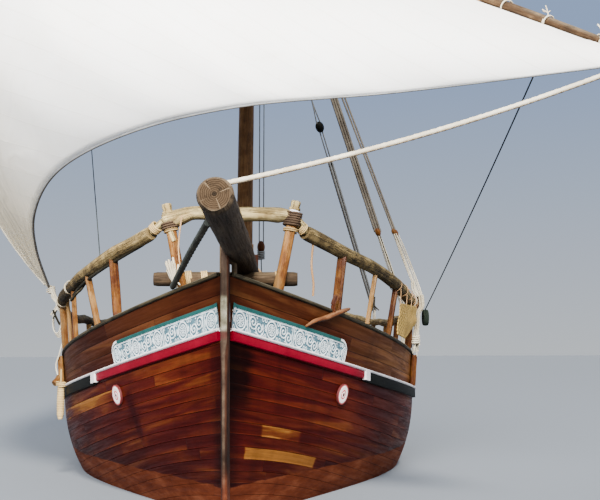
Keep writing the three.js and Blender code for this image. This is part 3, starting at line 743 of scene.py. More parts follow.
def mat_finish():
    """Plaited palm strips: a diagonal basket weave in ochre."""
    f = Finish("plaited_mat", 0.8, Specular_IOR_Level=0.12)
    turned = f.mapped(f.uv, (1, 1, 1), rotation=(0, 0, math.radians(45)))
    weave = f.group(WEAVE, Vector=turned, Threads=95.0)
    soil = f.noise(f.place, 4.0, 5.0, 0.6)
    colour = f.mix(f.smooth(soil, 0.3, 0.7), (0.72, 0.44, 0.10), (0.42, 0.24, 0.05))
    colour = f.darker(f.minus(1.0, f.smooth(weave["Height"], 0.1, 0.9)), colour, 0.3)
    colour = f.mix(f.times(weave["Tone"], 0.3), colour, (0.58, 0.42, 0.16))
    return f.done(colour, weave["Height"], 0.006, 0.8)


def end_grain_finish():
    """Growth rings round the log's own centre line."""
    f = Finish("end_grain", 0.85, Specular_IOR_Level=0.1)
    x, _, z = f.split(f.mapped(f.place, (1, 1, 1), (-0.002, 0, -3.3665)))
    r = f.math("SQRT", f.plus(f.times(x, x), f.times(z, z)))
    warp = f.times(f.noise(f.place, 9.0, 3.0), 0.03)
    rings = f.math("SINE", f.times(f.plus(r, warp), 330.0))
    colour = f.mix(f.smooth(rings, -0.6, 0.9), (0.030, 0.018, 0.009), (0.060, 0.038, 0.021))
    colour = f.darker(f.smooth(f.noise(f.place, 16.0, 5.0, 0.7), 0.45, 0.7), colour, 0.35)
    colour = f.mix(f.times(f.smooth(r, 0.135, 0.165), 0.8), colour, (0.13, 0.095, 0.06))
    colour = f.darker(f.minus(1.0, f.smooth(r, 0.012, 0.03)), colour, 0.3)
    return f.done(colour, rings, 0.002, 0.6)


def stem_finish():
    """Old stem timber: its front edge paler than its dark sides, partly wear and partly painted highlight,
    with painted shade on the port half; cream beside the carved boards.
    """
    f = Finish("stem_timber", 0.7, Specular_IOR_Level=0.12)
    height = f.split(f.place)[2]
    grain = f.group(GRAIN, Vector=f.mapped(f.place, (1, 1, 1), rotation=(0, math.radians(90), 0)), Scale=1.6)
    blotch = f.noise(f.place, 6.0, 5.0, 0.65)
    sides = f.ramp(f.plus(f.times(grain["Figure"], 0.5), f.times(blotch, 0.5)),
            [(0.2, (0.012, 0.004, 0.002)), (0.5, (0.030, 0.009, 0.004)), (0.8, (0.075, 0.026, 0.012))])
    front = f.ramp(blotch, [(0.3, (0.030, 0.016, 0.010)), (0.5, (0.064, 0.040, 0.026)),
            (0.7, (0.115, 0.078, 0.050))])
    cream = f.ramp(blotch, [(0.35, (0.10, 0.085, 0.05)), (0.5, (0.28, 0.26, 0.17)),
            (0.66, (0.50, 0.48, 0.36))])
    beside_board = f.times(f.smooth(height, 2.16, 2.22), f.minus(1.0, f.smooth(height, 2.54, 2.60)))
    front = f.mix(f.times(beside_board, 0.85), front, cream)
    band_at = f.near(height, 2.142, 0.075)
    front = f.mix(f.times(band_at, 0.6), front, (0.085, 0.012, 0.012))
    # Painted light: the front edge is paler, partly wear and partly painted highlight; the port half of the
    # front keeps the dark side colour as painted shade.
    limit = f.times(f.smooth(height, 1.9, 2.1), 0.022)
    port = f.smooth(f.minus(f.split(f.place)[0], limit), -0.004, 0.012)
    starboard = f.minus(1.0, port)
    worn_and_lit_edge = f.smooth(f.plus(f.tone(), f.times(f.smooth(height, 1.9, 2.1), 0.4)), 0.90, 0.97)
    colour = f.mix(f.times(worn_and_lit_edge, starboard), sides, front)
    colour = f.darker(f.times(grain["Streak"], 0.5), colour, 0.35)
    wet = f.minus(1.0, f.smooth(height, 0.30, 0.75))
    colour = f.mix(f.times(wet, 0.85), colour, f.ramp(blotch, BOTTOM_STOPS))
    return f.done(colour, grain["Height"], 0.004, 0.8)


CLEW = np.array([-3.248, -3.2, 3.025])
BOTTOM_STOPS = [(0.25, (0.045, 0.008, 0.003)), (0.5, (0.100, 0.022, 0.008)), (0.78, (0.20, 0.060, 0.026))]
HULL_STOPS = [(0.0, (0.030, 0.0014, 0.0016)), (0.35, (0.048, 0.0036, 0.0020)),
        (0.65, (0.078, 0.0100, 0.0030)), (0.88, (0.140, 0.034, 0.0070)), (1.0, (0.28, 0.105, 0.018))]
BULWARK_STOPS = [(0.0, (0.030, 0.0055, 0.0022)), (0.45, (0.060, 0.0155, 0.0050)),
        (0.8, (0.110, 0.038, 0.0120)), (1.0, (0.19, 0.075, 0.024))]
hull_timber = planked("hull_timber", HULL_STOPS, "uv", 0.15, 5.2, 1.0, 0.45, bottom=0.41, patches=True,
        spread=0.20, lip=0.5)
bulwark_timber = planked("bulwark_timber", BULWARK_STOPS, "uv", 0.2, 4.6, 1.0, 0.48, patches=True, lip=0.15,
        spread=0.35)
deck_timber = planked("deck_timber", [(0.0, (0.11, 0.065, 0.032)), (0.5, (0.20, 0.125, 0.068)),
        (1.0, (0.31, 0.21, 0.12))], "yx", 0.14, 4.0, 1.0, 0.75, lip=0.05)
cover_timber = planked("cover_timber", [(0.0, (0.10, 0.055, 0.028)), (0.5, (0.18, 0.105, 0.055)),
        (1.0, (0.28, 0.18, 0.10))], "xy", 0.19, 2.6, 1.0, 0.75, lip=0.08)
transom_timber = planked("transom_timber", BULWARK_STOPS, "xz", 0.19, 3.4, 1.0, 0.45, bottom=0.41)
blade_timber = planked("blade_timber", HULL_STOPS, "zy", 0.24, 5.0, 1.0, 0.5, bottom=0.41)
dressed = pole_wood("dressed_timber", [(0.0, (0.06, 0.014, 0.005)), (0.5, (0.13, 0.040, 0.012)),
        (1.0, (0.24, 0.090, 0.03))], 0.5, dust=0.15, crack=0.3)
varnished = pole_wood("varnished_post", [(0.0, (0.045, 0.009, 0.002)), (0.3, (0.080, 0.021, 0.004)),
        (0.6, (0.175, 0.066, 0.011)), (1.0, (0.30, 0.16, 0.052))], 0.45, dust=0.06, crack=0.4)
weathered = pole_wood("weathered_pole", [(0.0, (0.022, 0.014, 0.006)), (0.35, (0.095, 0.063, 0.026)),
        (0.7, (0.30, 0.205, 0.080)), (1.0, (0.56, 0.43, 0.20))], 0.75, dust=0.45,
        dust_tone=(0.25, 0.22, 0.115), crack=0.9)
grey_log = pole_wood("grey_log", [(0.0, (0.030, 0.018, 0.010)), (0.45, (0.062, 0.038, 0.020)),
        (0.8, (0.110, 0.072, 0.040)), (1.0, (0.19, 0.13, 0.075))], 0.7, dust=0.18, crack=0.7,
        dust_tone=(0.17, 0.14, 0.085))
bare_board = pole_wood("bare_board", [(0.0, (0.10, 0.060, 0.030)), (0.5, (0.19, 0.125, 0.070)),
        (1.0, (0.32, 0.23, 0.14))], 0.75, dust=0.2, crack=0.4)
mast_wood = pole_wood("mast_wood", [(0.0, (0.060, 0.026, 0.009)), (0.5, (0.140, 0.065, 0.024)),
        (1.0, (0.27, 0.135, 0.055))], 0.55, dust=0.1)
yard_wood = pole_wood("yard_wood", [(0.0, (0.030, 0.016, 0.008)), (0.5, (0.095, 0.052, 0.024)),
        (1.0, (0.26, 0.17, 0.085))], 0.6, dust=0.2)
cap_wood = pole_wood("cap_wood", [(0.0, (0.022, 0.018, 0.010)), (0.5, (0.070, 0.055, 0.030)),
        (1.0, (0.22, 0.19, 0.11))], 0.65, dust=0.3)
crimson = paint("crimson_paint", (0.155, 0.0001, 0.009), (0.21, 0.0002, 0.014), 0.45, stain=0.2, chips=0.12)
black_paint = paint("black_paint", (0.0022, 0.0024, 0.0022), (0.0055, 0.0060, 0.0050), 0.6,
        chip=(0.02, 0.015, 0.01))
white_paint = paint("white_paint", (0.86, 0.82, 0.82), (0.74, 0.68, 0.68), 0.5, chips=0.12)
old_rubber = paint("old_rubber", (0.008, 0.012, 0.009), (0.022, 0.030, 0.022), 0.75,
        chip=(0.06, 0.07, 0.05), chips=0.3)
iron = paint("old_iron", (0.030, 0.022, 0.018), (0.075, 0.035, 0.020), 0.6, chip=(0.15, 0.06, 0.03),
        chips=0.5)
pale_rope = rope_stuff("pale_rope", (0.74, 0.70, 0.58), (0.36, 0.29, 0.18))
grey_rope = rope_stuff("grey_rope", (0.27, 0.28, 0.28), (0.10, 0.105, 0.11))
brown_rope = rope_stuff("brown_rope", (0.20, 0.175, 0.14), (0.065, 0.055, 0.046))
tan_rope = rope_stuff("tan_rope", (0.60, 0.38, 0.20), (0.26, 0.14, 0.06))
straw_rope = rope_stuff("straw_rope", (0.60, 0.44, 0.20), (0.28, 0.18, 0.07))
dark_rope = rope_stuff("dark_rope", (0.070, 0.076, 0.066), (0.014, 0.017, 0.016))
tarred_rope = rope_stuff("tarred_rope", (0.095, 0.060, 0.036), (0.018, 0.011, 0.008))
carved = carving_finish()
eye_paint = eye_finish()
sailcloth = sail_finish()
plaited = mat_finish()
end_grain = end_grain_finish()
stem_timber = stem_finish()


def add_board(form, points, wide, thick, ref=(0.0, 0.0, 1.0), arris=0.008, seed=0, tone=0.0):
    """Dressed timber: a rectangle of half sizes wide and thick with rounded corners, carried along the
    points."""
    line = np.asarray(points, float)
    s = length_along(line)
    inner = np.linspace(arris, s[-1] - arris, max(2, int(s[-1] / 0.15)))
    stops = np.concatenate([[0.0], inner, [s[-1]]])
    path = np.stack([np.interp(stops, s, line[:, k]) for k in range(3)], -1)
    u, v = across(path, ref)
    a = np.radians(np.add.outer(np.arange(4) * 90, [5, 45, 85]).ravel())
    sx = np.repeat([1, -1, -1, 1], 3)
    sy = np.repeat([1, 1, -1, -1], 3)
    cut = 0.7 * arris * (1 - np.clip(np.minimum(stops, s[-1] - stops) / arris, 0, 1))[:, None]
    x = sx * (wide - arris - cut) + arris * np.cos(a)
    y = sy * (thick - arris - cut) + arris * np.sin(a)
    ring = path[:, None] + x[..., None] * u[:, None] + y[..., None] * v[:, None]
    girth = length_along(np.concatenate([ring[1], ring[1][:1]]))
    form.grid(ring, stops + seed * 3.7, girth + seed * 1.3, wrap=True, caps=True, tone=tone)
    return form


def add_turned(form, at, axis, profile, sides=24, tone=0.0):
    """Turned shape: each (distance along the axis, radius) of the profile is a ring."""
    profile = np.asarray(profile, float)
    axis = np.asarray(axis, float) / np.linalg.norm(axis)
    path = np.asarray(at, float) + profile[:, :1] * axis
    ref = (0.0, 0.0, 1.0) if abs(axis[2]) < 0.9 else (0.0, 1.0, 0.0)
    form.grid(carried(path, profile[:, 1], sides, ref), profile[:, 0], np.linspace(0, 0.3, sides + 1),
            wrap=True, caps=True, tone=tone)
    return form


def hull_planking():
    """Both sides as one skin: girth runs keel to wale in equal planks, and each seam dips by a groove."""
    planks, stations, groove = 24, 230, 0.0045
    u = np.linspace(0, 1, stations)
    y = BOW + (STERN - BOW) * (0.35 * u + 0.65 * (0.5 - 0.5 * np.cos(np.pi * u)))
    z = KEEL_TOP + (wale_z(y)[:, None] - KEEL_TOP) * (np.linspace(0, 1, 160) ** 1.25)[None, :]
    yy = np.broadcast_to(y[:, None], z.shape)
    skin = np.stack([hull_half(yy, z), station_y(yy, z), z], -1)
    girth = np.concatenate([np.zeros((stations, 1)), np.cumsum(np.linalg.norm(np.diff(skin, axis=1),
            axis=-1), 1)], 1)
    girth /= girth[:, -1:]
    local = np.array([0.0, 0.04, 0.09, 0.50, 0.91, 0.96])
    g = np.append((np.arange(planks)[:, None] + local[None, :]).ravel(), planks)
    dip = np.append(np.tile([1.0, 0, 0, 0, 0, 0], planks), 1.0)
    side = np.empty((stations, len(g), 3))
    for k in range(3):
        side[..., k] = np.stack([np.interp(g / planks, girth[i], skin[i, :, k]) for i in range(stations)])
    normal = np.cross(np.gradient(side, axis=1), np.gradient(side, axis=0))
    normal /= np.linalg.norm(normal, axis=-1, keepdims=True)
    normal[normal[..., 0] < 0] *= -1
    inward = np.clip(side[..., 0] / 0.25 - 0.3, 0, 1)
    side = side - normal * (groove * dip[None, :] * inward)[..., None]
    side[..., 0] = np.maximum(side[..., 0], SIDING)
    run = length_along(side[:, -1])
    # Planks of another colour: side, plank from the keel, from and to along the sheer, how much paler. The
    # darker tone of plank 23, to port and to starboard, is painted shadow under the wale.
    odd_planks = [(1, 18, 0.3, 5.2, 0.12), (1, 17, 0.3, 4.4, 0.10), (1, 15, 0.3, 3.9, 0.12),
            (1, 16, 0.72, 1.65, 0.42), (1, 14, 0.34, 2.30, 0.62), (1, 20, 0.20, 4.8, -0.18),
            (1, 21, 0.2, 5.0, -0.16), (1, 22, 0.2, 5.6, -0.20), (1, 23, 0.2, 3.4, -0.24),
            (1, 11, 1.1, 4.2, 0.14), (1, 9, 0.6, 3.6, 0.10),
            (-1, 16, 2.02, 3.05, 0.22), (-1, 22, 0.2, 5.8, 0.14), (-1, 21, 0.2, 5.8, 0.18),
            (-1, 20, 0.2, 3.4, 0.12), (-1, 23, 0.2, 6.0, -0.15), (-1, 12, 0.8, 3.9, 0.06)]
    rings, tones, vs = [], [], []
    for sign in (1, -1):
        value = np.zeros(side.shape[:2])
        for which, plank, low, high, pale in odd_planks:
            if which == sign:
                value += pale * ((run > low) & (run < high))[:, None] * (np.floor(g) == plank)[None, :]
        if sign < 0:
            lean = 2.33 - 0.038 * (21 - g[None, :])
            stain = np.exp(-(((run[:, None] - lean) / 0.07) ** 2)) * np.clip((g - 16.2) / 1.5, 0, 1)[None, :]
            value -= 0.7 * stain * (g < 21.5)[None, :]
        rings.append(side if sign > 0 else mirrored(side, -1)[:, ::-1])
        tones.append(value if sign > 0 else value[:, ::-1])
        vs.append(g if sign > 0 else 60.0 + g[::-1])
    form = Form().grid(np.concatenate(rings, 1), run, np.concatenate([*vs, [0.0]]), wrap=True, caps=True,
            tone=np.concatenate(tones, 1))
    return form.make("hull_planking", hull_timber, slot="hull_planks", replaces="hull", sharp=28)


def stem():
    """Stem timber: at each height a section that narrows forward to a rounded, worn edge."""
    z = np.linspace(-1.49, 3.178, 110)
    bevel = np.interp(z, [1.7, 2.1], [1.0, 0.0])[:, None]
    deep = np.interp(z, [-1.5, -1.44, 2.9, 3.18], [0.19, 0.25, 0.25, 0.21])
    wear = 0.004 * np.sin(z * 7.3) + 0.003 * np.sin(z * 17.1 + 1) + 0.002 * np.sin(z * 41.0)
    blunt = np.array([50, 50, 50, 48, 45, 40, 34, 24, 11]) / 1000.0
    keen = np.array([50, 47, 42, 36, 31, 27, 23, 17, 8]) / 1000.0
    half = blunt + (keen - blunt) * bevel
    ahead = np.array([0.0, 0.35, 0.62, 0.80, 0.90, 0.955, 0.985, 0.998, 1.0])
    x = np.concatenate([half, -half[:, ::-1]], 1)
    d = np.concatenate([ahead, ahead[::-1]])
    back = stem_y(z)[:, None] - 0.001
    y = back - d[None, :] * (deep + wear)[:, None]
    x = x * (1 + 1.6 * wear[:, None] * (d > 0.7)[None, :])
    ring = np.stack(np.broadcast_arrays(x, y, z[:, None]), -1)
    form = Form().grid(ring, z, np.linspace(0, 0.62, 19), wrap=True, caps=True,
            tone=np.broadcast_to(d, (110, 18)))
    form.make("stem_timber", stem_timber, slot="varnished_wood", replaces="stem_post", sharp=45)
    apron = add_pole(Form(), through([[0.09, -8.90, 2.68], [0.092, -8.90, 2.85], [0.091, -8.90, 3.00]], 12),
            0.032, 12, 0.05, 45, knots=1, tone=0.35, ref=(0, 1, 0))
    head = np.array([[-0.045, -8.60, 2.60], [-0.047, -8.61, 3.00], [-0.043, -8.60, 3.42]])
    add_pole(apron, through(head, 16), 0.041, 16, 0.04, 46, knots=2, tone=0.35, ref=(0, 1, 0), power=4.0)
    apron.make("apron_batten", grey_log, slot="grey_log", sharp=60)


WALE_SPLIT = {1: -6.415, -1: -6.255}


def wales():
    """Wale timbers along the sheer: a box section with rounded arrises, crimson fore and black aft."""
    r = 0.009
    for name, side in SIDES:
        split = WALE_SPLIT[side]
        # Part, from y, to y, depth, thickness, finish, slot, how many stations.
        parts = [("wale_fore_", -8.998, split - 0.003, 0.118, 0.045, crimson, "red_paint", 70),
                ("wale_aft_", split + 0.003, STERN - 0.01, 0.150, 0.050, black_paint, "dark_wood", 160)]
        for part, y0, y1, deep, thick, finish, slot, count in parts:
            y = np.linspace(y0, y1, count)
            section = [(0.0, -0.004), (0.0, thick - r), (0.3 * r, thick - 0.3 * r), (r, thick),
                    (deep / 2, thick), (deep - r, thick), (deep - 0.3 * r, thick - 0.3 * r),
                    (deep, thick - r), (deep, -0.004)]
            columns = []
            for down, out in section:
                drop = 0.002 + down
                columns.append(beside(lambda yy, drop=drop: hull_half(yy, wale_z(yy) - drop), y,
                        wale_z(y) - drop, out))
            ring = mirrored(np.stack(columns, 1), side)
            form = Form().grid(ring, length_along(ring[:, 0]), np.linspace(0, 0.3, len(section) + 1),
                    wrap=True, caps=True)
            form.make(part + "timber_" + name, finish, slot=slot, replaces=part + name, sharp=50)


def bulwark_planking():
    """Three broad planks a side, with a groove between them, from the wale to the cap."""
    share_up = np.array([0.0, 0.02, 0.31, 0.33, 0.35, 0.64, 0.66, 0.68, 0.98, 1.0])
    dip = np.array([0.0, 0.0, 0.0, -0.005, 0.0, 0.0, -0.005, 0.0, 0.0, 0.0])
    for name, side in SIDES:
        y = np.concatenate([np.linspace(-8.999, -8.93, 6), np.linspace(-8.90, STERN - 0.01, 188)])
        yt = fore_top(y)
        foot_z, head_z = wale_z(y) + 0.003, top_z(yt) - 0.045
        columns = []
        for part, out in zip(share_up, dip):
            a = beside(wale_half, y, foot_z, -0.001 + out)
            b = beside(top_half, yt, head_z, -0.001 + out)
            columns.append(a + (b - a) * part)
        for part in (1.0, 0.0):
            a = beside(wale_half, y, foot_z, -BULWARK_T)
            b = beside(top_half, yt, head_z, -BULWARK_T)
            columns.append(a + (b - a) * part)
        ring = mirrored(np.stack(columns, 1), side)
        v = np.concatenate([share_up * 3, [8.0, 5.0, 4.9]]) + (40 if side > 0 else 80)
        pale = np.interp(y, [-7.2, -5.0], [0.0, 0.60]) if side > 0 else np.full(len(y), -0.05)
        form = Form().grid(ring, length_along(ring[:, 0]), v, wrap=True, caps=True, tone=pale[:, None])
        form.make("bulwark_planking_" + name, bulwark_timber, slot="hull_planks",
                replaces="bulwark_" + name, sharp=30)


def bulwark_ribs():
    """Rib heads stand inside each bulwark, one every 0.52 m."""
    for name, side in SIDES:
        form = Form()
        for k, y in enumerate(np.arange(-7.9, 8.5, 0.52)):
            z = np.linspace(float(wale_z(y)) + 0.06, float(top_z(y)) - 0.05, 6)
            mid = np.stack([wall_half(y, z) - BULWARK_T - 0.042, np.full(6, float(station_y(y, z[0]))), z],
                    -1)
            add_pole(form, mirrored(mid, side), 0.040, 12, 0.02, 400 + k, tone=0.1 * (k % 3), ref=(0, 1, 0),
                    power=5.0)
        form.make("bulwark_ribs_" + name, dressed, slot="varnished_wood")


def cap_rails():
    """Rounded cap timber on each bulwark, its edge line a little uneven."""
    for name, side in SIDES:
        y = np.linspace(-8.97, STERN - 0.01, 224)
        yt = fore_top(y)
        z = top_z(yt) - 0.0185
        inner = beside(top_half, yt, z, -BULWARK_T - 0.030)
        outer = beside(top_half, yt, z, 0.030)
        mid, reach = (inner + outer) / 2, (outer - inner) / 2
        a = np.linspace(0, 2 * np.pi, 16, endpoint=False)
        swell = (np.abs(np.cos(a)) ** 5 + np.abs(np.sin(a)) ** 5) ** -0.2
        wander = 1 + 0.012 * np.sin(np.arange(len(y)) * 0.9) + 0.01 * np.sin(np.arange(len(y)) * 0.31)
        ring = mid[:, None] + (swell * np.cos(a))[None, :, None] * reach[:, None] * wander[:, None, None]
        ring = ring + (swell * np.sin(a))[None, :, None] * np.array([0, 0, 0.0235])
        form = Form().grid(mirrored(ring, side), length_along(mid), np.linspace(0, 0.35, 17), wrap=True,
                caps=True)
        form.make("cap_rail_" + name, cap_wood, slot="weathered_wood", replaces="cap_" + name, sharp=60)


def band(distance, width):
    """1 on the line, falling to 0 over the outer part of the width."""
    return np.clip(1.7 - 1.7 * np.abs(distance) / width, 0, 1)


def spiral(x, y, turn, reach, pitch, width):
    """Band along r = pitch (angle / 2 pi + whole turns), out to reach; turn picks the winding's sense."""
    r = np.hypot(x, y)
    lap = r / pitch - turn * np.arctan2(y, x) / (2 * np.pi)
    gap = np.abs(lap - np.round(lap)) * pitch
    return band(gap, width) * (r < reach)


def carving_height(s, h):
    """Relief of the carved field, s along and h up, in metres.

    Cells alternate: a rosette in a ring, then a pair of scrolls with leaves. Two bars stand at every
    third joint.
    """
    pitch = 0.29
    k = np.floor(s / pitch)
    x = (s / pitch - k - 0.5) * pitch
    up = h - 0.126
    r = np.hypot(x, up)
    angle = np.arctan2(up, x)
    ring = np.maximum(band(r - 0.094, 0.014), band(r - 0.064, 0.007))
    petals = band(np.abs(np.cos(3 * angle)) * 0.045 - 0.046 + r * 0.35, 0.016) * (r < 0.062)
    rosette = np.maximum.reduce([ring, petals, band(r, 0.015)])
    near = spiral(x + 0.058, up - 0.028, 1, 0.083, 0.042, 0.013)
    far = spiral(x - 0.058, up + 0.028, 1, 0.083, 0.042, 0.013)
    scrolls = np.maximum(near, far)
    stalk = band(up - 0.086 * np.sin(x * np.pi / pitch * 2.0 + np.pi * 0.5) * np.sign(x + 1e-9), 0.011)
    scrolls = np.maximum(scrolls, stalk * (np.hypot(np.abs(x) - 0.058, up) > 0.085))
    leaf = band(np.hypot((np.abs(x) - 0.118) * 1.3, np.abs(up) - 0.086) - 0.021, 0.009)
    leaf = np.maximum(leaf, band(np.abs(np.abs(x) - 0.118) + (np.abs(up) - 0.03) * 0.4, 0.010) *
            (np.abs(up) < 0.06))
    body = np.where(k % 2 == 0, np.maximum(rosette, leaf * (r > 0.105)), np.maximum(scrolls, leaf * 0.9))
    joint = np.abs(s - pitch * np.round(s / pitch))
    bars = (np.round(s / pitch) % 3 == 1) * np.maximum(band(joint - 0.016, 0.009), 0)
    clear = (np.round(s / pitch) % 3 == 1) & (joint < 0.028)
    edge = band(up - 0.108, 0.007)
    return np.maximum(np.where(clear, bars, body), edge)


def friezes():
    """Carved board on each bow: relief in a field, a green band above, a white rim below and round its
    end."""
    for name, side in SIDES:
        rows, cols = 480, 50
        y = np.linspace(-8.999, -7.02 if side > 0 else -6.92, rows)
        yt = y + 0.45 * (fore_top(y) - y)
        low = beside_wall(y, wale_z(y) + 0.004, 0.012)
        high = beside_wall(yt, wale_z(yt) + 0.294, 0.012)
        run = length_along(low)
        left = run[-1] - run
        top_cut = np.where(left < 0.20, 1 - (1 - np.clip(left / 0.20, 0, 1)) ** 2, 1.0) ** 0.5
        foot_cut = np.where(left < 0.07, 1 - (1 - np.clip(left / 0.07, 0, 1)) ** 2, 1.0) ** 0.5
        tall = 0.29
        h0 = 0.08 * (1 - foot_cut) * tall
        h1 = (0.45 + 0.55 * top_cut) * tall
        w = np.linspace(0, 1, cols)
        h = h0[:, None] + (h1 - h0)[:, None] * w[None, :]
        s = np.broadcast_to(run[:, None], h.shape)
        rim = np.minimum.reduce([h - h0[:, None], h1[:, None] - h, np.broadcast_to(left[:, None], h.shape)])
        at_end = (left < 0.22)[:, None] & (rim < 0.026)
        at_foot = (h - h0[:, None]) < 0.018
        green = (h1[:, None] - h) < 0.044
        relief = carving_height(s, h)
        inside = ~(at_end | at_foot | green)
        out = 0.0045 + 0.010 * np.where(inside, relief, 1.0)
        tone = np.where(at_end | at_foot, 3.0, np.where(green, 2.0, relief))
        face = low[:, None] + (high - low)[:, None] * (h / tall)[..., None]
        normal = np.cross(np.gradient(low, axis=0), high - low)
        normal /= np.linalg.norm(normal, axis=1, keepdims=True)
        normal[normal[:, 0] < 0] *= -1
        front = face + normal[:, None] * out[..., None]
        back = face[:, [-1, 0]] - normal[:, None] * 0.003
        ring = mirrored(np.concatenate([front, back], 1), side)
        v = np.concatenate([w * tall, [0.30, 0.0, 0.0]])
        form = Form().grid(ring, run, v, wrap=True, caps=True,
                tone=np.concatenate([tone, tone[:, [-1, 0]]], 1))
        form.make("carved_board_" + name, carved, slot="blue_carving", replaces="frieze_" + name, sharp=0)


def eyes():
    """Painted boss on each bow: r e^(ia) on the planking, domed, with two turned grooves."""
    for name, side in SIDES:
        at, z0 = (-6.97 if side > 0 else -6.89), 1.390

        def probe(dy, dz):
            y, z = at + dy, z0 + dz
            return np.array([float(hull_half(y, z)), float(station_y(y, z)), z])

        centre = probe(0, 0)
        u = probe(0.005, 0) - centre
        u /= np.linalg.norm(u)
        v = probe(0, 0.005) - centre
        v /= np.linalg.norm(v)
        n = np.cross(v, u)
        n *= np.sign(n[0]) / np.linalg.norm(n)
        r = np.array([1, 19, 32, 35, 51, 62, 65, 93, 114, 119, 131, 137, 140, 140]) / 1000.0
        up = np.array([38, 37, 34, 31, 36, 34, 31, 35, 33, 30, 33, 30, 24, 4]) / 1000.0
        a = np.linspace(0, 2 * np.pi, 72, endpoint=False)
        disc = (centre + (r[:, None] * np.cos(a))[..., None] * u + (r[:, None] * np.sin(a))[..., None] * v +
                up[:, None, None] * n)
        tone = np.broadcast_to((r / 0.14)[:, None], (len(r), 72))
        form = Form().grid(mirrored(disc, side), r, np.linspace(0, 1, 73), wrap=True, caps=True, tone=tone)
        form.make("painted_eye_" + name, eye_paint, slot="white_paint", replaces="eye_" + name, sharp=50)


def mouldings():
    """Pale half-round along the top of the wales, and the white block where red gives way to black."""
    for name, side in SIDES:
        y = np.linspace(-8.999, STERN - 0.012, 236)
        z = wale_z(y) + 0.006
        a = np.linspace(-0.5 * np.pi, 0.5 * np.pi, 9)
        out = 0.030 + 0.042 * np.cos(a)
        height = 0.020 * np.sin(a)
        columns = [beside(wale_half, y, z + dz, o) for o, dz in zip(out, height)]
        columns += [beside(wale_half, y, z + 0.020, 0.008), beside(wale_half, y, z - 0.020, 0.008)]
        ring = mirrored(np.stack(columns, 1), side)
        form = Form().grid(ring, length_along(ring[:, 0]), np.linspace(0, 0.1, 12), wrap=True, caps=True)
        block_y = np.linspace(*((-6.485, -6.36) if side > 0 else (-6.33, -6.19)), 5)
        corner = [(-0.132, 0.006), (-0.132, 0.068), (0.0, 0.072), (0.0, 0.006)]
        ring = np.stack([beside(wale_half, block_y, wale_z(block_y) + dz, o) for dz, o in corner], 1)
        form.grid(mirrored(ring, side), block_y, np.linspace(0, 0.4, 5), wrap=True, caps=True)
        form.make("pale_moulding_" + name, white_paint, slot="white_paint", sharp=50)


def rail_place(side, y):
    """Point on a rail's centre line and the direction of the line there."""
    ends = np.array([y - 0.05, y + 0.05])
    line = np.stack([side * rail_half(ends), ends, rail_z(ends)], -1)
    return line.mean(0), line[1] - line[0]


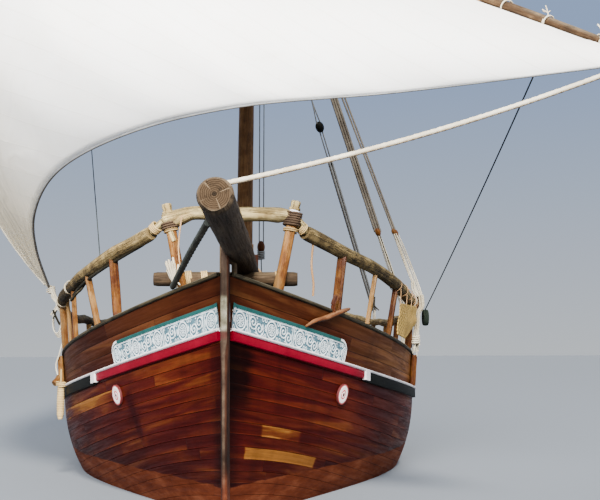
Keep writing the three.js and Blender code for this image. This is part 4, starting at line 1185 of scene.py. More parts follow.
def rail_poles():
    """A grown pole along each side on posts and boards; post tone 0 is reddish, 1 is bare ochre."""
    # y of each post, half width along the rail, half thickness, foot inboard of the edge, tone.
    posts = {
        "port": [(-7.35, 0.062, 0.034, 0.075, 0.10), (-6.45, 0.034, 0.030, 0.107, 0.75),
         (-5.6, 0.042, 0.04, 0.105, 0.0),
         (-4.3, 0.05, 0.04, 0.03, 0.2), (-2.5, 0.05, 0.04, 0.03, 0.5), (-0.7, 0.05, 0.04, 0.03, 0.1),
         (1.1, 0.05, 0.04, 0.03, 0.4), (2.9, 0.05, 0.04, 0.03, 0.2), (4.6, 0.05, 0.04, 0.03, 0.5),
         (6.0, 0.05, 0.04, 0.03, 0.3)],
        "starboard": [(-7.2, 0.060, 0.032, 0.05, 0.06), (-6.35, 0.045, 0.042, 0.14, 0.4),
         (-5.6, 0.036, 0.036, 0.03, 0.2),
         (-4.3, 0.055, 0.045, 0.03, 0.35), (-2.5, 0.05, 0.04, 0.03, 0.2), (-0.7, 0.05, 0.04, 0.03, 0.5),
         (1.1, 0.05, 0.04, 0.03, 0.1), (2.9, 0.05, 0.04, 0.03, 0.4), (4.6, 0.05, 0.04, 0.03, 0.2),
         (6.0, 0.05, 0.04, 0.03, 0.5)],
    }
    for name, side in SIDES:
        seed = 11 if side > 0 else 23
        y = np.linspace(-8.08, 6.3, 240)
        p = np.random.default_rng(seed).uniform(0, 6.3, 4)
        path = np.stack([side * (rail_half(y) + 0.010 * np.sin(1.9 * y + p[0])), y,
                rail_z(y) + 0.012 * np.sin(2.3 * y + p[1]) + 0.006 * np.sin(5.1 * y + p[2])], -1)
        pale = np.full(240, 0.22) if side > 0 else np.interp(y, [-6.0, -5.3], [0.22, -0.10])
        form = add_pole(Form(), path, np.linspace(0.092, 0.070, 240), 26, 0.035, seed, knots=14,
                tone=pale[:, None])
        form.make("rail_pole_" + name, weathered, slot="weathered_wood", replaces="pole_rail_" + name,
                sharp=60)
        form = Form()
        for k, (y0, wide, thick, inboard, tone) in enumerate(posts[name]):
            t = np.linspace(0, 1, 12)[:, None]
            foot = np.array([side * (float(top_half(y0)) - inboard), y0, float(top_z(y0)) + 0.004])
            head = np.array([side * float(rail_half(y0)), y0, float(rail_z(y0)) - 0.03])
            line = foot + (head - foot) * t
            line[:, 1] += 0.008 * np.sin(t[:, 0] * 5 + k)
            add_pole(form, line, wide, 16, 0.03, seed + 50 + k, knots=1, tone=tone, ref=(0.3 * side, 1, 0),
                    power=4.5, flat=thick / wide)
        if side < 0:
            for k, (foot, head, thick, tone) in enumerate((((-2.600, -4.6, 2.10), (-2.677, -4.6, 2.826),
                    0.030, 0.75), ((-2.47, -5.1, 2.15), (-2.50, -5.1, 2.90), 0.018, 0.0))):
                line = through([foot, (np.array(foot) + head) / 2 + [0.005, 0.01, 0], head], 12)
                add_pole(form, line, thick, 14, 0.04, 77 + k, knots=1, tone=tone, ref=(0, 1, 0))
        form.make("rail_posts_" + name, varnished, slot="varnished_wood", sharp=45)
    twigs = Form()
    for points, radius, seed in (
        ([[-2.36, -5.9, 2.70], [-2.26, -6.0, 2.80], [-2.19, -6.05, 2.85], [-2.10, -6.1, 2.97]], 0.022, 5),
        ([[1.90, -6.42, 2.48], [1.965, -6.45, 2.60], [1.98, -6.46, 2.72]], 0.013, 6),
        ([[1.965, -6.45, 2.60], [2.04, -6.43, 2.53]], 0.011, 7)):
        add_pole(twigs, through(points, 24), np.linspace(radius, radius * 0.7, 24), 10, 0.08, seed, knots=3,
                tone=-0.1)
    y = np.linspace(-7.9, -5.45, 40)
    drop = np.interp(y, [-7.9, -7.0, -6.2, -5.7, -5.45], [0.10, 0.105, 0.11, 0.15, 0.17])
    under = np.stack([-rail_half(y) + 0 * y, y, rail_z(y) - drop], -1)
    add_pole(twigs, under, 0.020, 12, 0.05, 8, knots=4, tone=-0.6)
    stick = through([[-2.997, -4.1, 2.644], [-2.947, -4.1, 2.53], [-2.88, -4.1, 2.401]], 14)
    add_pole(twigs, stick, 0.018, 10, 0.05, 9, knots=1, tone=-0.5, ref=(0, 1, 0))
    twigs.make("rail_branches", cap_wood, slot="weathered_wood", sharp=60)
    ends = Form()
    for side, y0, turns in ((-1, -5.45, 3), (-1, -4.4, 5), (1, -4.35, 4), (1, -3.9, 5)):
        add_lashing(ends, *rail_place(side, y0), 0.087, turns, 0.010, tone=0.3, seed=turns)
    ends.make("rail_lashings", pale_rope, slot="rope", sharp=60)


def crook():
    """Natural crook of timber fastened outside the port bulwark: a tapering limb along a bent line, and a
    stub."""
    place = [(-7.98, 2.270), (-7.84, 2.340), (-7.675, 2.380), (-7.515, 2.440), (-7.36, 2.485), (-7.24, 2.515)]
    y = np.array([p[0] for p in place])
    z = np.array([p[1] for p in place])
    line = through(beside_wall(y, z, 0.040), 60)
    radius = np.interp(np.linspace(0, 1, 60), [0, 0.2, 0.4, 0.6, 0.85, 1],
            [0.018, 0.036, 0.048, 0.050, 0.040, 0.026])
    form = add_pole(Form(), line, radius, 16, 0.05, 33, knots=3, tone=0.45, flat=0.7)
    y, z = np.array([-7.555, -7.58, -7.525]), np.array([2.46, 2.565, 2.67])
    add_pole(form, through(beside_wall(y, z, 0.030), 16), np.linspace(0.032, 0.028, 16), 14, 0.05, 34,
            tone=-0.2)
    form.make("bulwark_crook", dressed, slot="varnished_wood", sharp=60)


def bowsprit_log():
    """Heavy log; its fore end shows growth rings and drying cracks."""
    y = np.linspace(-11.505, -6.9, 90)
    t = (y + 11.5) / 4.6
    path = np.stack([0.002 + 0.25 * t, y, 3.366 - 0.421 * t], -1)
    radius = np.interp(y, [-11.505, -11.46, -11.3, -9.3, -6.9], [0.160, 0.173, 0.168, 0.168, 0.136])
    form = add_pole(Form(), path, radius, 40, 0.020, 31, knots=6,
            tone=np.interp(y, [-11.5, -11.3], [0.6, 0.05])[:, None])
    form.make("bowsprit_log", grey_log, slot="grey_log", replaces="bowsprit", sharp=50)
    r = np.linspace(0.004, 0.152, 34)
    a = np.linspace(0, 2 * np.pi, 64, endpoint=False)
    wobble = 1 + 0.03 * np.sin(3 * a) + 0.015 * np.sin(7 * a + 1)
    turned = (a[:, None] - np.array([0.4, 2.3, 3.6, 5.1]) + np.pi) % (2 * np.pi) - np.pi
    crack = np.exp(-((turned / np.array([0.05, 0.07, 0.04, 0.06])) ** 2)).sum(1)
    deep = 0.012 * crack[None, :] * (r / 0.15)[:, None] ** 0.7 + 0.0012 * np.sin(r * 900)[:, None]
    d = np.array([0.0543, 1.0, -0.0915])
    d /= np.linalg.norm(d)
    u = np.cross(d, [0, 0, 1.0])
    u /= np.linalg.norm(u)
    w = np.cross(u, d)
    centre = np.array([0.002, -11.509, 3.3665])
    ring = r[:, None] * wobble[None, :]
    disc = centre + (ring * np.cos(a))[..., None] * u + (ring *
            np.sin(a))[..., None] * w + deep[..., None] * d
    back = centre + 0.02 * d + (ring[-1] * np.cos(a))[:, None] * u + (ring[-1] * np.sin(a))[:, None] * w
    both = np.concatenate([disc, back[None]], 0)
    face = Form().grid(both, np.linspace(0, 0.2, len(both)), np.linspace(0, 1.0, 65), wrap=True, caps=True,
            tone=0.25)
    face.make("bowsprit_end", end_grain, slot="grey_log", sharp=60)


def bow_timbers():
    """Head log and gallows: leaning posts with dark bands and pale knobs, and a crooked beam between them."""
    log = np.stack([np.linspace(-0.927, 0.85, 40), np.full(40, -8.045), np.full(40, 2.85)], -1)
    form = add_pole(Form(), log, 0.090, 22, 0.03, 41, knots=3, tone=0.16)
    form.make("head_log_dressed", grey_log, slot="grey_log", replaces="head_log", sharp=60)
    lash = Form()
    for k, x in enumerate((-0.50, -0.30, 0.62)):
        add_lashing(lash, (x, -8.045, 2.85), (1, 0, 0.1), 0.088, 4, 0.010, seed=k)
    posts, bands, collars, knobs, dark = Form(), Form(), Form(), Form(), Form()
    # Foot x, head x, seed, then the heights where the dark band, the collar and the knob begin, and the
    # knob ends.
    for x0, x1, seed, z_dark, z_collar, z_knob, z_end in ((0.495, 0.832, 51, 3.575, 3.635, 3.690, 3.810),
            (-0.455, -0.772, 52, 3.50, 3.594, 3.640, 3.773)):
        foot = np.array([x0, -8.21, float(wale_z(-8.21)) + 0.11])
        head = np.array([x1, -8.21, 3.80])
        way = (head - foot) / np.linalg.norm(head - foot)
        at = foot + (head - foot) * ((np.array([z_dark, z_collar, z_knob]) - foot[2]) /
                (head[2] - foot[2]))[:, None]
        t = np.linspace(0, (z_collar + 0.01 - foot[2]) / (head[2] - foot[2]), 30)
        r = np.interp(t, [0, 0.5, 0.8, 0.91], [0.065, 0.064, 0.062, 0.056])
        add_pole(posts, foot + (head - foot) * t[:, None], r, 24, 0.03, seed, knots=3, tone=0.34,
                ref=(0, 1, 0), power=3.6)
        tall = z_knob - z_collar
        add_turned(bands if x0 < 0 else collars, at[1], way,
                [(0, 0.055), (0.003, 0.066), (tall - 0.002, 0.066), (tall + 0.002, 0.055)])
        tall = z_end - z_knob
        knob = [(0.0, 0.052), (0.03, 0.070), (0.15, 0.073), (0.26, 0.068), (0.30, 0.054), (0.44, 0.057),
                (0.72, 0.061), (0.90, 0.059), (0.97, 0.050), (1.0, 0.030)]
        knob = [(share * tall, wide) for share, wide in knob]
        add_turned(knobs, at[2], way, knob, tone=0.62)
        add_lashing(dark, at[0], way, 0.086, 6 if seed == 51 else 3, 0.014, seed=seed)
        add_lashing(lash, foot + (head - foot) * 0.785, way, 0.072, 2, 0.011, tone=0.4, seed=seed)
        add_lashing(dark, foot + (head - foot) * 0.12, way, 0.076, 4, 0.012, seed=seed + 1)
    posts.make("gallows_posts", varnished, slot="varnished_wood", replaces="gallows", sharp=50)
    bands.make("gallows_bands", black_paint, slot="weathered_wood", sharp=50)
    collars.make("gallows_collar", white_paint, slot="white_paint", sharp=50)
    knobs.make("gallows_knobs", weathered, slot="weathered_wood", sharp=50)
    beam = through([[-0.80, -8.21, 3.545], [-0.62, -8.21, 3.60], [-0.45, -8.21, 3.655], [-0.1, -8.21, 3.64],
            [0.38, -8.21, 3.64], [0.65, -8.21, 3.635], [0.83, -8.21, 3.60]], 60)
    radius = np.interp(beam[:, 0], [-0.8, -0.62, -0.45, -0.1, 0.3, 0.62, 0.83],
            [86, 104, 84, 86, 94, 92, 62]) / 1000.0
    form = add_pole(Form(), beam, radius, 26, 0.06, 61, knots=10, tone=0.58)
    for a, b, thick, seed in (((0.80, -8.20, 3.56), (0.955, -8.09, 3.43), 0.052, 62),
            ((0.84, -8.24, 3.60), (0.93, -8.18, 3.50), 0.036, 63),
            ((-0.79, -8.20, 3.55), (-0.945, -8.09, 3.43), 0.056, 64),
            ((-0.74, -8.25, 3.55), (-0.66, -8.27, 3.30), 0.034, 65)):
        line = np.array(a) + (np.array(b) - np.array(a)) * np.linspace(0, 1, 10)[:, None]
        add_pole(form, line, np.linspace(thick, thick * 0.8, 10), 14, 0.06, seed, knots=2, tone=0.7)
    form.make("gallows_beam", weathered, slot="weathered_wood", sharp=60)
    add_lashing(lash, (0.90, -8.13, 3.48), (0.6, 0.4, -0.5), 0.058, 4, 0.011, seed=3)
    add_lashing(lash, (-0.90, -8.13, 3.48), (-0.6, 0.4, -0.5), 0.060, 4, 0.011, seed=4)
    lash.make("bow_lashings", straw_rope, slot="rope", sharp=60)
    dark.make("bow_lashings_dark", tarred_rope, slot="rope", sharp=60)


MAST_TOP = 11.5


def mast_at(z):
    t = (z - 1.4) / (MAST_TOP - 1.4)
    return np.stack([0.17 * t, -1.6 - 1.3 * t, z], -1)


def mast():
    """Tapered spar with a shouldered head."""
    z = np.concatenate([np.linspace(float(wale_z(-1.6)) + 0.15, 10.95, 90), np.linspace(11.0, MAST_TOP, 14)])
    r = np.interp(z, [1.4, 4, 8, 10.98, 11.08, 11.3, 11.5], [0.158, 0.152, 0.128, 0.105, 0.125, 0.122, 0.112])
    form = add_pole(Form(), mast_at(z), r, 36, 0.012, 71, knots=4, tone=0.3, ref=(0, 1, 0))
    form.make("mast_spar", mast_wood, slot="hull_planks", replaces="mast", sharp=60)
    lash = Form()
    for k, (z0, turns) in enumerate(((10.62, 9), (9.35, 4), (3.9, 5), (2.4, 7))):
        r0 = float(np.interp(z0, [1.4, 4, 8, 10.98], [0.158, 0.152, 0.128, 0.105]))
        add_lashing(lash, mast_at(np.array(z0)), (0.0168, -0.1287, 1.0), r0, turns, 0.013, tone=0.3, seed=k)
    lash.make("mast_lashings", tan_rope, slot="rope", sharp=60)


YARD_TACK = np.array([4.173, -11.0, 4.990])
YARD_SLING = np.array([-0.143, -2.780, 9.950])
YARD_LENGTH = 22.8
SLING_SHARE = float(np.linalg.norm(YARD_SLING - YARD_TACK)) / YARD_LENGTH
YARD_PEAK = YARD_TACK + (YARD_SLING - YARD_TACK) / SLING_SHARE


def yard_at(t):
    """Straight line from tack to peak, drooping 0.26 ((t - sling) / 0.55)^2."""
    t = np.asarray(t, float)
    p = YARD_TACK + (YARD_PEAK - YARD_TACK) * t[..., None]
    return p - np.stack([0 * t, 0 * t, 0.26 * ((t - SLING_SHARE) / 0.55) ** 2], -1)


def yard_radius(t):
    return 0.118 + (0.030 - 0.118) * np.clip(np.abs(t - SLING_SHARE) / 0.5, 0, 1) ** 1.3


def yard():
    """Long spar of two poles scarfed together, wound with rope near its middle."""
    t = np.linspace(-0.012, 1.012, 260)
    form = add_pole(Form(), yard_at(t), yard_radius(t) * 0.97, 22, 0.03, 81, knots=16, tone=0.12)
    form.make("yard_spar", yard_wood, "rig", "weathered_wood", "yard", sharp=60)
    wound = Form()
    for k, at in enumerate(np.concatenate([np.arange(0.30, 0.64, 0.042), [0.12, 0.2, 0.72, 0.82, 0.92]])):
        a, b = yard_at(at - 0.001), yard_at(at + 0.001)
        add_lashing(wound, (a + b) / 2, b - a, float(yard_radius(at)) * 0.97, 6, 0.008, tone=0.2 * (k % 3),
                seed=k)
    wound.make("yard_lashings", tan_rope, "rig", "rope", sharp=60)


# Foot of the sail from tack to clew: r, x, y, z.
FOOT = np.array([
    [0.0, 4.177, -10.980, 4.766],
    [0.2, 1.895, -10.000, 4.714],
    [0.4, 0.137, -9.450, 4.678],
    [0.55, -1.152, -8.550, 4.590],
    [0.7, -2.367, -7.000, 4.382],
    [0.82, -2.983, -5.600, 4.003],
    [0.92, -3.218, -4.400, 3.590],
    [1.0, *CLEW],
])
FOOT_LINE = through(FOOT[:, 1:], 1401)


def foot_at(r):
    """Point of the foot: r picks its place between the table's rows."""
    row = np.interp(r, FOOT[:, 0], np.arange(len(FOOT))) / (len(FOOT) - 1) * 1400
    return np.stack([np.interp(row, np.arange(1401), FOOT_LINE[:, k]) for k in range(3)], -1)


def leech_shift(q):
    """How far the leech bows forward and to starboard of a straight line."""
    out = 2.68 * np.sin(np.pi * q) * (0.2 + 1.2 * q * q)
    return np.stack([-0.9 * out, -0.44 * out, 0 * out], -1)


def sail_point(r, q):
    """Blend of yard and foot by q, plus the leech's bow by r^1.6 and a belly sin(pi r) sin(pi q)^0.8."""
    a, b = yard_at(0.008 + 0.977 * r), foot_at(r)
    belly = 1.5 * np.sin(np.pi * np.clip(r, 0, 1)) * np.clip(np.sin(np.pi * q), 0, 1) ** 0.8
    push = np.stack([-0.74 + 0 * q, -0.67 + 0 * q, 0.1 * q], -1)
    return (a + (b - a) * q[..., None] + (np.clip(r, 0, 1) ** 1.6)[..., None] * leech_shift(q) +
            belly[..., None] * push)


def sail():
    """Cloth on the sail's surface, with folds that fan out from the clew and scallops below the yard's
    ties."""
    nr, nq = 300, 130
    r = (0.014 + 0.986 * (1 - (1 - np.linspace(0, 1, nr)) ** 1.3))[:, None] * np.ones((1, nq))
    q = np.linspace(0.0, 1.0, nq)[None, :] * np.ones((nr, 1))
    p = sail_point(r, q)
    du = np.gradient(p, axis=0)
    dv = np.gradient(p, axis=1)
    n = np.cross(du, dv)
    n /= np.linalg.norm(n, axis=-1, keepdims=True)
    lead = (yard_radius(r) * 1.2 + 0.016) * (1 - q) ** 3
    p = p + lead[..., None] * np.array([-0.55, -0.5, -0.67])
    width = length_along(p[:, 0])[:, None] * np.ones((1, nq))
    drop = np.concatenate([np.zeros((nr, 1)), np.cumsum(np.linalg.norm(np.diff(p, axis=1), axis=-1), 1)], 1)
    clew = np.linalg.norm(p - CLEW, axis=-1)
    fan = np.arctan2(1.02 - q, (1.02 - r) * 2.2)
    folds = 0.022 * np.exp(-clew / 1.3) * np.sin(fan * 38) * np.clip(clew / 0.5, 0, 1)
    folds += 0.014 * np.exp(-clew / 3.0) * np.sin(fan * 19 + 1.0)
    folds += 0.028 * np.exp(-q * 9) * np.sin(width * 2 * np.pi / 0.75) * np.clip(q * 12, 0, 1)
    folds += 0.006 * np.sin(width * 2 * np.pi / 1.9 + 0.8 * np.sin(drop)) * np.sin(np.pi * q)
    folds += 0.008 * np.sin(width * 1.1 + drop * 1.7) * np.clip(q * 3, 0, 1)
    folds *= np.clip((1 - q) / 0.02, 0, 1) * np.clip((1 - r) / 0.01, 0, 1)
    middle = p + n * folds[..., None]
    half = 0.0025
    front, back = middle + n * half, middle - n * half
    ring = np.concatenate([front, back[:, ::-1]], 1)
    u = np.concatenate([width, width[:, ::-1], width[:, :1]], 1)
    v = np.concatenate([drop, drop[:, ::-1], drop[:, :1]], 1)
    form = Form().grid(ring, u, v, wrap=True, caps="zip", tone=np.concatenate([fan, fan[:, ::-1]], 1))
    cloth = form.make("sail_cloth", sailcloth, "rig", "sailcloth", "sail", sharp=0)
    edge = Form()
    add_rope(edge, middle[:, -1][::2], 0.012, ref=(0, 0.3, 1.0), grow=(0.8, 1.9))
    edge.make("bolt_rope", grey_rope, "rig", "rope", sharp=60)
    edge = add_rope(Form(), middle[-1, :][::2], 0.014, ref=(0, 1.0, 0.2), grow=(0.9, 1.6))
    edge.make("leech_rope", pale_rope, "rig", "rope", sharp=60)
    ties = Form()
    rng = np.random.default_rng(91)
    for t in np.arange(0.02, 0.985, 0.033):
        at = 0.008 + 0.977 * t + rng.uniform(-0.006, 0.006)
        a, b = yard_at(at - 0.001), yard_at(at + 0.001)
        radius = float(yard_radius(at)) + 0.022
        big = rng.uniform(0.7, 1.6)
        centre = (a + b) / 2 + np.array([-0.006, -0.006, -0.008])
        path = coil_path(centre, b - a, radius, 1.15 + (big > 1.2), 0.018, start=rng.uniform(0, 6))
        ties.grid(carried(path, 0.008 * big, 8, b - a), length_along(path) / 0.009, np.linspace(0, 1, 9),
                wrap=True, caps=True)
        for _ in range(int(2 + 2 * big)):
            turn = rng.uniform(-0.5, 0.5, 3)
            tail = centre + np.array([[0, 0, radius], [0, 0, radius + 0.03],
                    turn * 0.14 * big + [0, 0, radius + 0.07]])
            tail = through(tail, 8)
            ties.grid(carried(tail, 0.006 * big, 6, (0.3, 1, 0.1)), length_along(tail) / 0.006,
                    np.linspace(0, 1, 7), wrap=True, caps=True)
    ties.make("sail_ties", pale_rope, "rig", "rope", sharp=60)


def collar():
    """Parrel: turns of rope round the mast, with the seizings between mast and yard."""
    form = Form()
    centre = mast_at(np.array(9.95))
    axis = np.array([0.0168, -0.1287, 1.0])
    for k in range(5):
        middle = centre + axis / np.linalg.norm(axis) * (k - 2) * 0.024
        path = coil_path(middle, axis, 0.172, 1.0, 0.0, steps=64)
        add_rope(form, path, 0.0135, 0.11, 9, 3, axis)
    a = YARD_SLING
    b = centre + np.array([-0.140, -0.064, 0])
    for k in range(3):
        mid = a + (b - a) * (0.35 + 0.25 * k)
        add_lashing(form, mid, b - a, 0.05, 2, 0.010, seed=k)
    form.make("parrel_rope", tan_rope, "rig", "rope", "parrel", sharp=60)


# Stays of the windward side: the point outside the rail, then x and z of the lashed end below it.
STAY_MAIN = ((3.222, -1.000, 2.440), (3.085, 1.960))
STAY_PAIR = (((2.992, -4.010, 2.790), (2.925, 1.960)), ((3.026, -3.960, 2.790), (2.925, 1.960)))
STAY_AFT = ((3.058, 3.090, 2.690), (2.972, 2.110))
STAY_AFT_TOP = mast_at(np.array(10.66)) + np.array([-0.082, 0.116, 0.0])


def stay_top(drop):
    return mast_at(np.array(10.93 - drop)) + np.array([0.112, 0.02, 0])


def along(a, b, share_from, share_to, off=(0, 0, 0), sag=0.0, count=20):
    """Points from one share of the line a-b to another, with a parabolic sag and a sideways shift."""
    t = np.linspace(share_from, share_to, count)[:, None]
    bow = 4 * (t - share_from) * (share_to - t) / max((share_to - share_from) ** 2, 1e-9)
    return np.asarray(a) + (np.asarray(b) - np.asarray(a)) * t + np.asarray(off,
            float) - bow * np.array([0, 0, sag])


def tackle(form, a, b, parts, spread, radius, seed, sides=8):
    """Several parts of thin rope side by side between two points, drawn together at the ends."""
    rng = np.random.default_rng(seed)
    u, v = across(np.array([a, b]), (0, 1, 0))
    t = np.linspace(0, 1, 24)[:, None]
    for k in range(parts):
        angle = 2 * np.pi * k / parts + rng.uniform(-0.3, 0.3)
        off = spread * (math.cos(angle) * u[0] + math.sin(angle) * v[0])
        line = a + (b - a) * t + off * (0.35 + 0.65 * np.sin(np.pi * np.clip(t, 0.04, 0.96)) ** 0.3)
        add_rope(form, line, radius, lay=13 * radius, sides=sides, ref=(0, 1, 0), steps_per_lay=6)


def block(form, at, axis, size, tone=0.0, wide=0.62):
    """Pulley block: an egg-shaped wooden shell, wide its breadth over its length."""
    t = np.linspace(-1, 1, 17)
    profile = np.stack([t * size, size * wide * np.sqrt(np.clip(1 - t**2, 0.02, 1))], -1)
    add_turned(form, at, axis, profile, 18, tone)


def frayed_end(form, at, aim, length, strands, spread, radius, seed, tone=0.0):
    """Open end of a rope: strands that spread in a cone and droop."""
    rng = np.random.default_rng(seed)
    for _ in range(strands):
        bend = rng.uniform(-1, 1, 3) * spread
        reach = length * rng.uniform(0.6, 1.0)
        tip = np.asarray(at) + np.asarray(aim) * reach + bend
        mid = (np.asarray(at) + tip) / 2 + bend * 0.2
        path = through([at, mid, tip + np.array([0, 0, -0.15 * reach])], 10)
        form.grid(carried(path, np.linspace(radius, radius * 0.6, 10), 6, (0.2, 1, 0.1)),
                length_along(path) / radius, np.linspace(0, 1, 7), wrap=True, caps=True, tone=tone)


def standing_rigging():
    """Stays of the port side: ropes from the masthead, blocks, and tackles down to the lashings on the
    bulwark."""
    brown, dark, pale = Form(), Form(), Form()
    (x, y, z), (xe, ze) = STAY_MAIN
    foot, end, top = np.array([x, y, z]), np.array([xe, y, ze]), stay_top(0.0)
    form = Form()
    for off in (-0.050, 0.0, 0.050):
        line = along(foot, top, 0.2132, 1.0, (off, 0, 0), count=30)
        add_rope(form, line, 0.026, sides=10, ref=(0, 1, 0), steps_per_lay=6)
    form.make("stay_rope_main", brown_rope, slot="rope", replaces="shroud_main_port", sharp=60)
    block(brown, foot + (top - foot) * 0.213, top - foot, 0.090, 0.3)
    tackle(pale, foot + (top - foot) * 0.205, foot + np.array([0, 0, 0.06]), 4, 0.035, 0.0120, 100)
    add_rope(dark, along(foot, top, 0.03, 0.205, (0.02, 0, 0)), 0.012, sides=8, ref=(0, 1, 0),
            steps_per_lay=6)
    tackle(pale, foot + (top - foot) * 0.03, end, 6, 0.030, 0.011, 120)
    block(brown, foot + (top - foot) * 0.03, top - foot, 0.075, 0.2)
    form = Form()
    for k, ((x, y, z), (xe, ze)) in enumerate(STAY_PAIR):
        foot, end, top = np.array([x, y, z]), np.array([xe, y, ze]), stay_top(0.09 + 0.09 * k)
        top = top + np.array([0.058 * (2 * k - 1), 0, 0])
        add_rope(form, along(foot, top, 0.145, 1.0, count=30), 0.018, sides=10, ref=(0, 1, 0),
                steps_per_lay=7)
        block(brown, foot + (top - foot) * 0.145, top - foot, 0.060, 0.3)
        tackle(pale, foot + (top - foot) * 0.14, foot + np.array([0, 0, 0.03]), 3, 0.040, 0.0105, 102 + k)
        tackle(pale, foot + (top - foot) * 0.02, end, 5, 0.028, 0.012, 122 + k)
    form.make("stay_rope_pair", brown_rope, slot="rope", replaces="shrouds_fore_port", sharp=60)
    (x, y, z), (xe, ze) = STAY_AFT
    foot, end, top = np.array([x, y, z]), np.array([xe, y, ze]), STAY_AFT_TOP
    form = Form()
    for off in (-0.032, 0.032):
        add_rope(form, along(foot, top, 0.03, 0.415, (off, off, 0)), 0.034, sides=10, ref=(0, 1, 0),
                steps_per_lay=7)
        add_rope(form, along(foot, top, 0.41, 0.50, (off, off, 0)), 0.016, sides=8, ref=(0, 1, 0),
                steps_per_lay=6)
        line = through([foot + (top - foot) * 0.499 + [1.6 * off, off, 0], foot + (top - foot) * 0.563,
                top], 40)
        add_rope(form, line, 0.015, sides=8, ref=(0, 1, 0), steps_per_lay=6)
    form.make("stay_rope_aft", grey_rope, slot="rope", replaces="stay_aft_port", sharp=60)
    block(dark, foot + (top - foot) * 0.499, top - foot, 0.125, wide=0.72)
    block(dark, foot + (top - foot) * 0.412, top - foot, 0.06)
    tackle(pale, foot + (top - foot) * 0.03, end, 4, 0.026, 0.010, 123)
    for drop, turns in ((0.0, 6), (0.21, 4)):
        add_lashing(pale, stay_top(drop), (0.0168, -0.1287, 1.0), 0.028, turns, 0.011, tone=0.2)
    pale.make("stay_tackles", pale_rope, slot="rope", sharp=60)
    brown.make("stay_blocks", varnished, slot="varnished_wood", sharp=60)
    dark.make("stay_block_dark", black_paint, slot="old_rubber", sharp=60)


def crossing_rope(name, line, radius, finish, sides=10, grow=(1.0, 1.0)):
    """Rope between hull and rig, drawn along the given line from its start on the hull to its end on the rig,
    on no body.
    """
    form = add_rope(Form(), line, radius, sides=sides, ref=(0, 1, 0.2), steps_per_lay=7, grow=grow)
    rope = form.make(name, finish, None, "rope", sharp=60)
    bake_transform(rope)


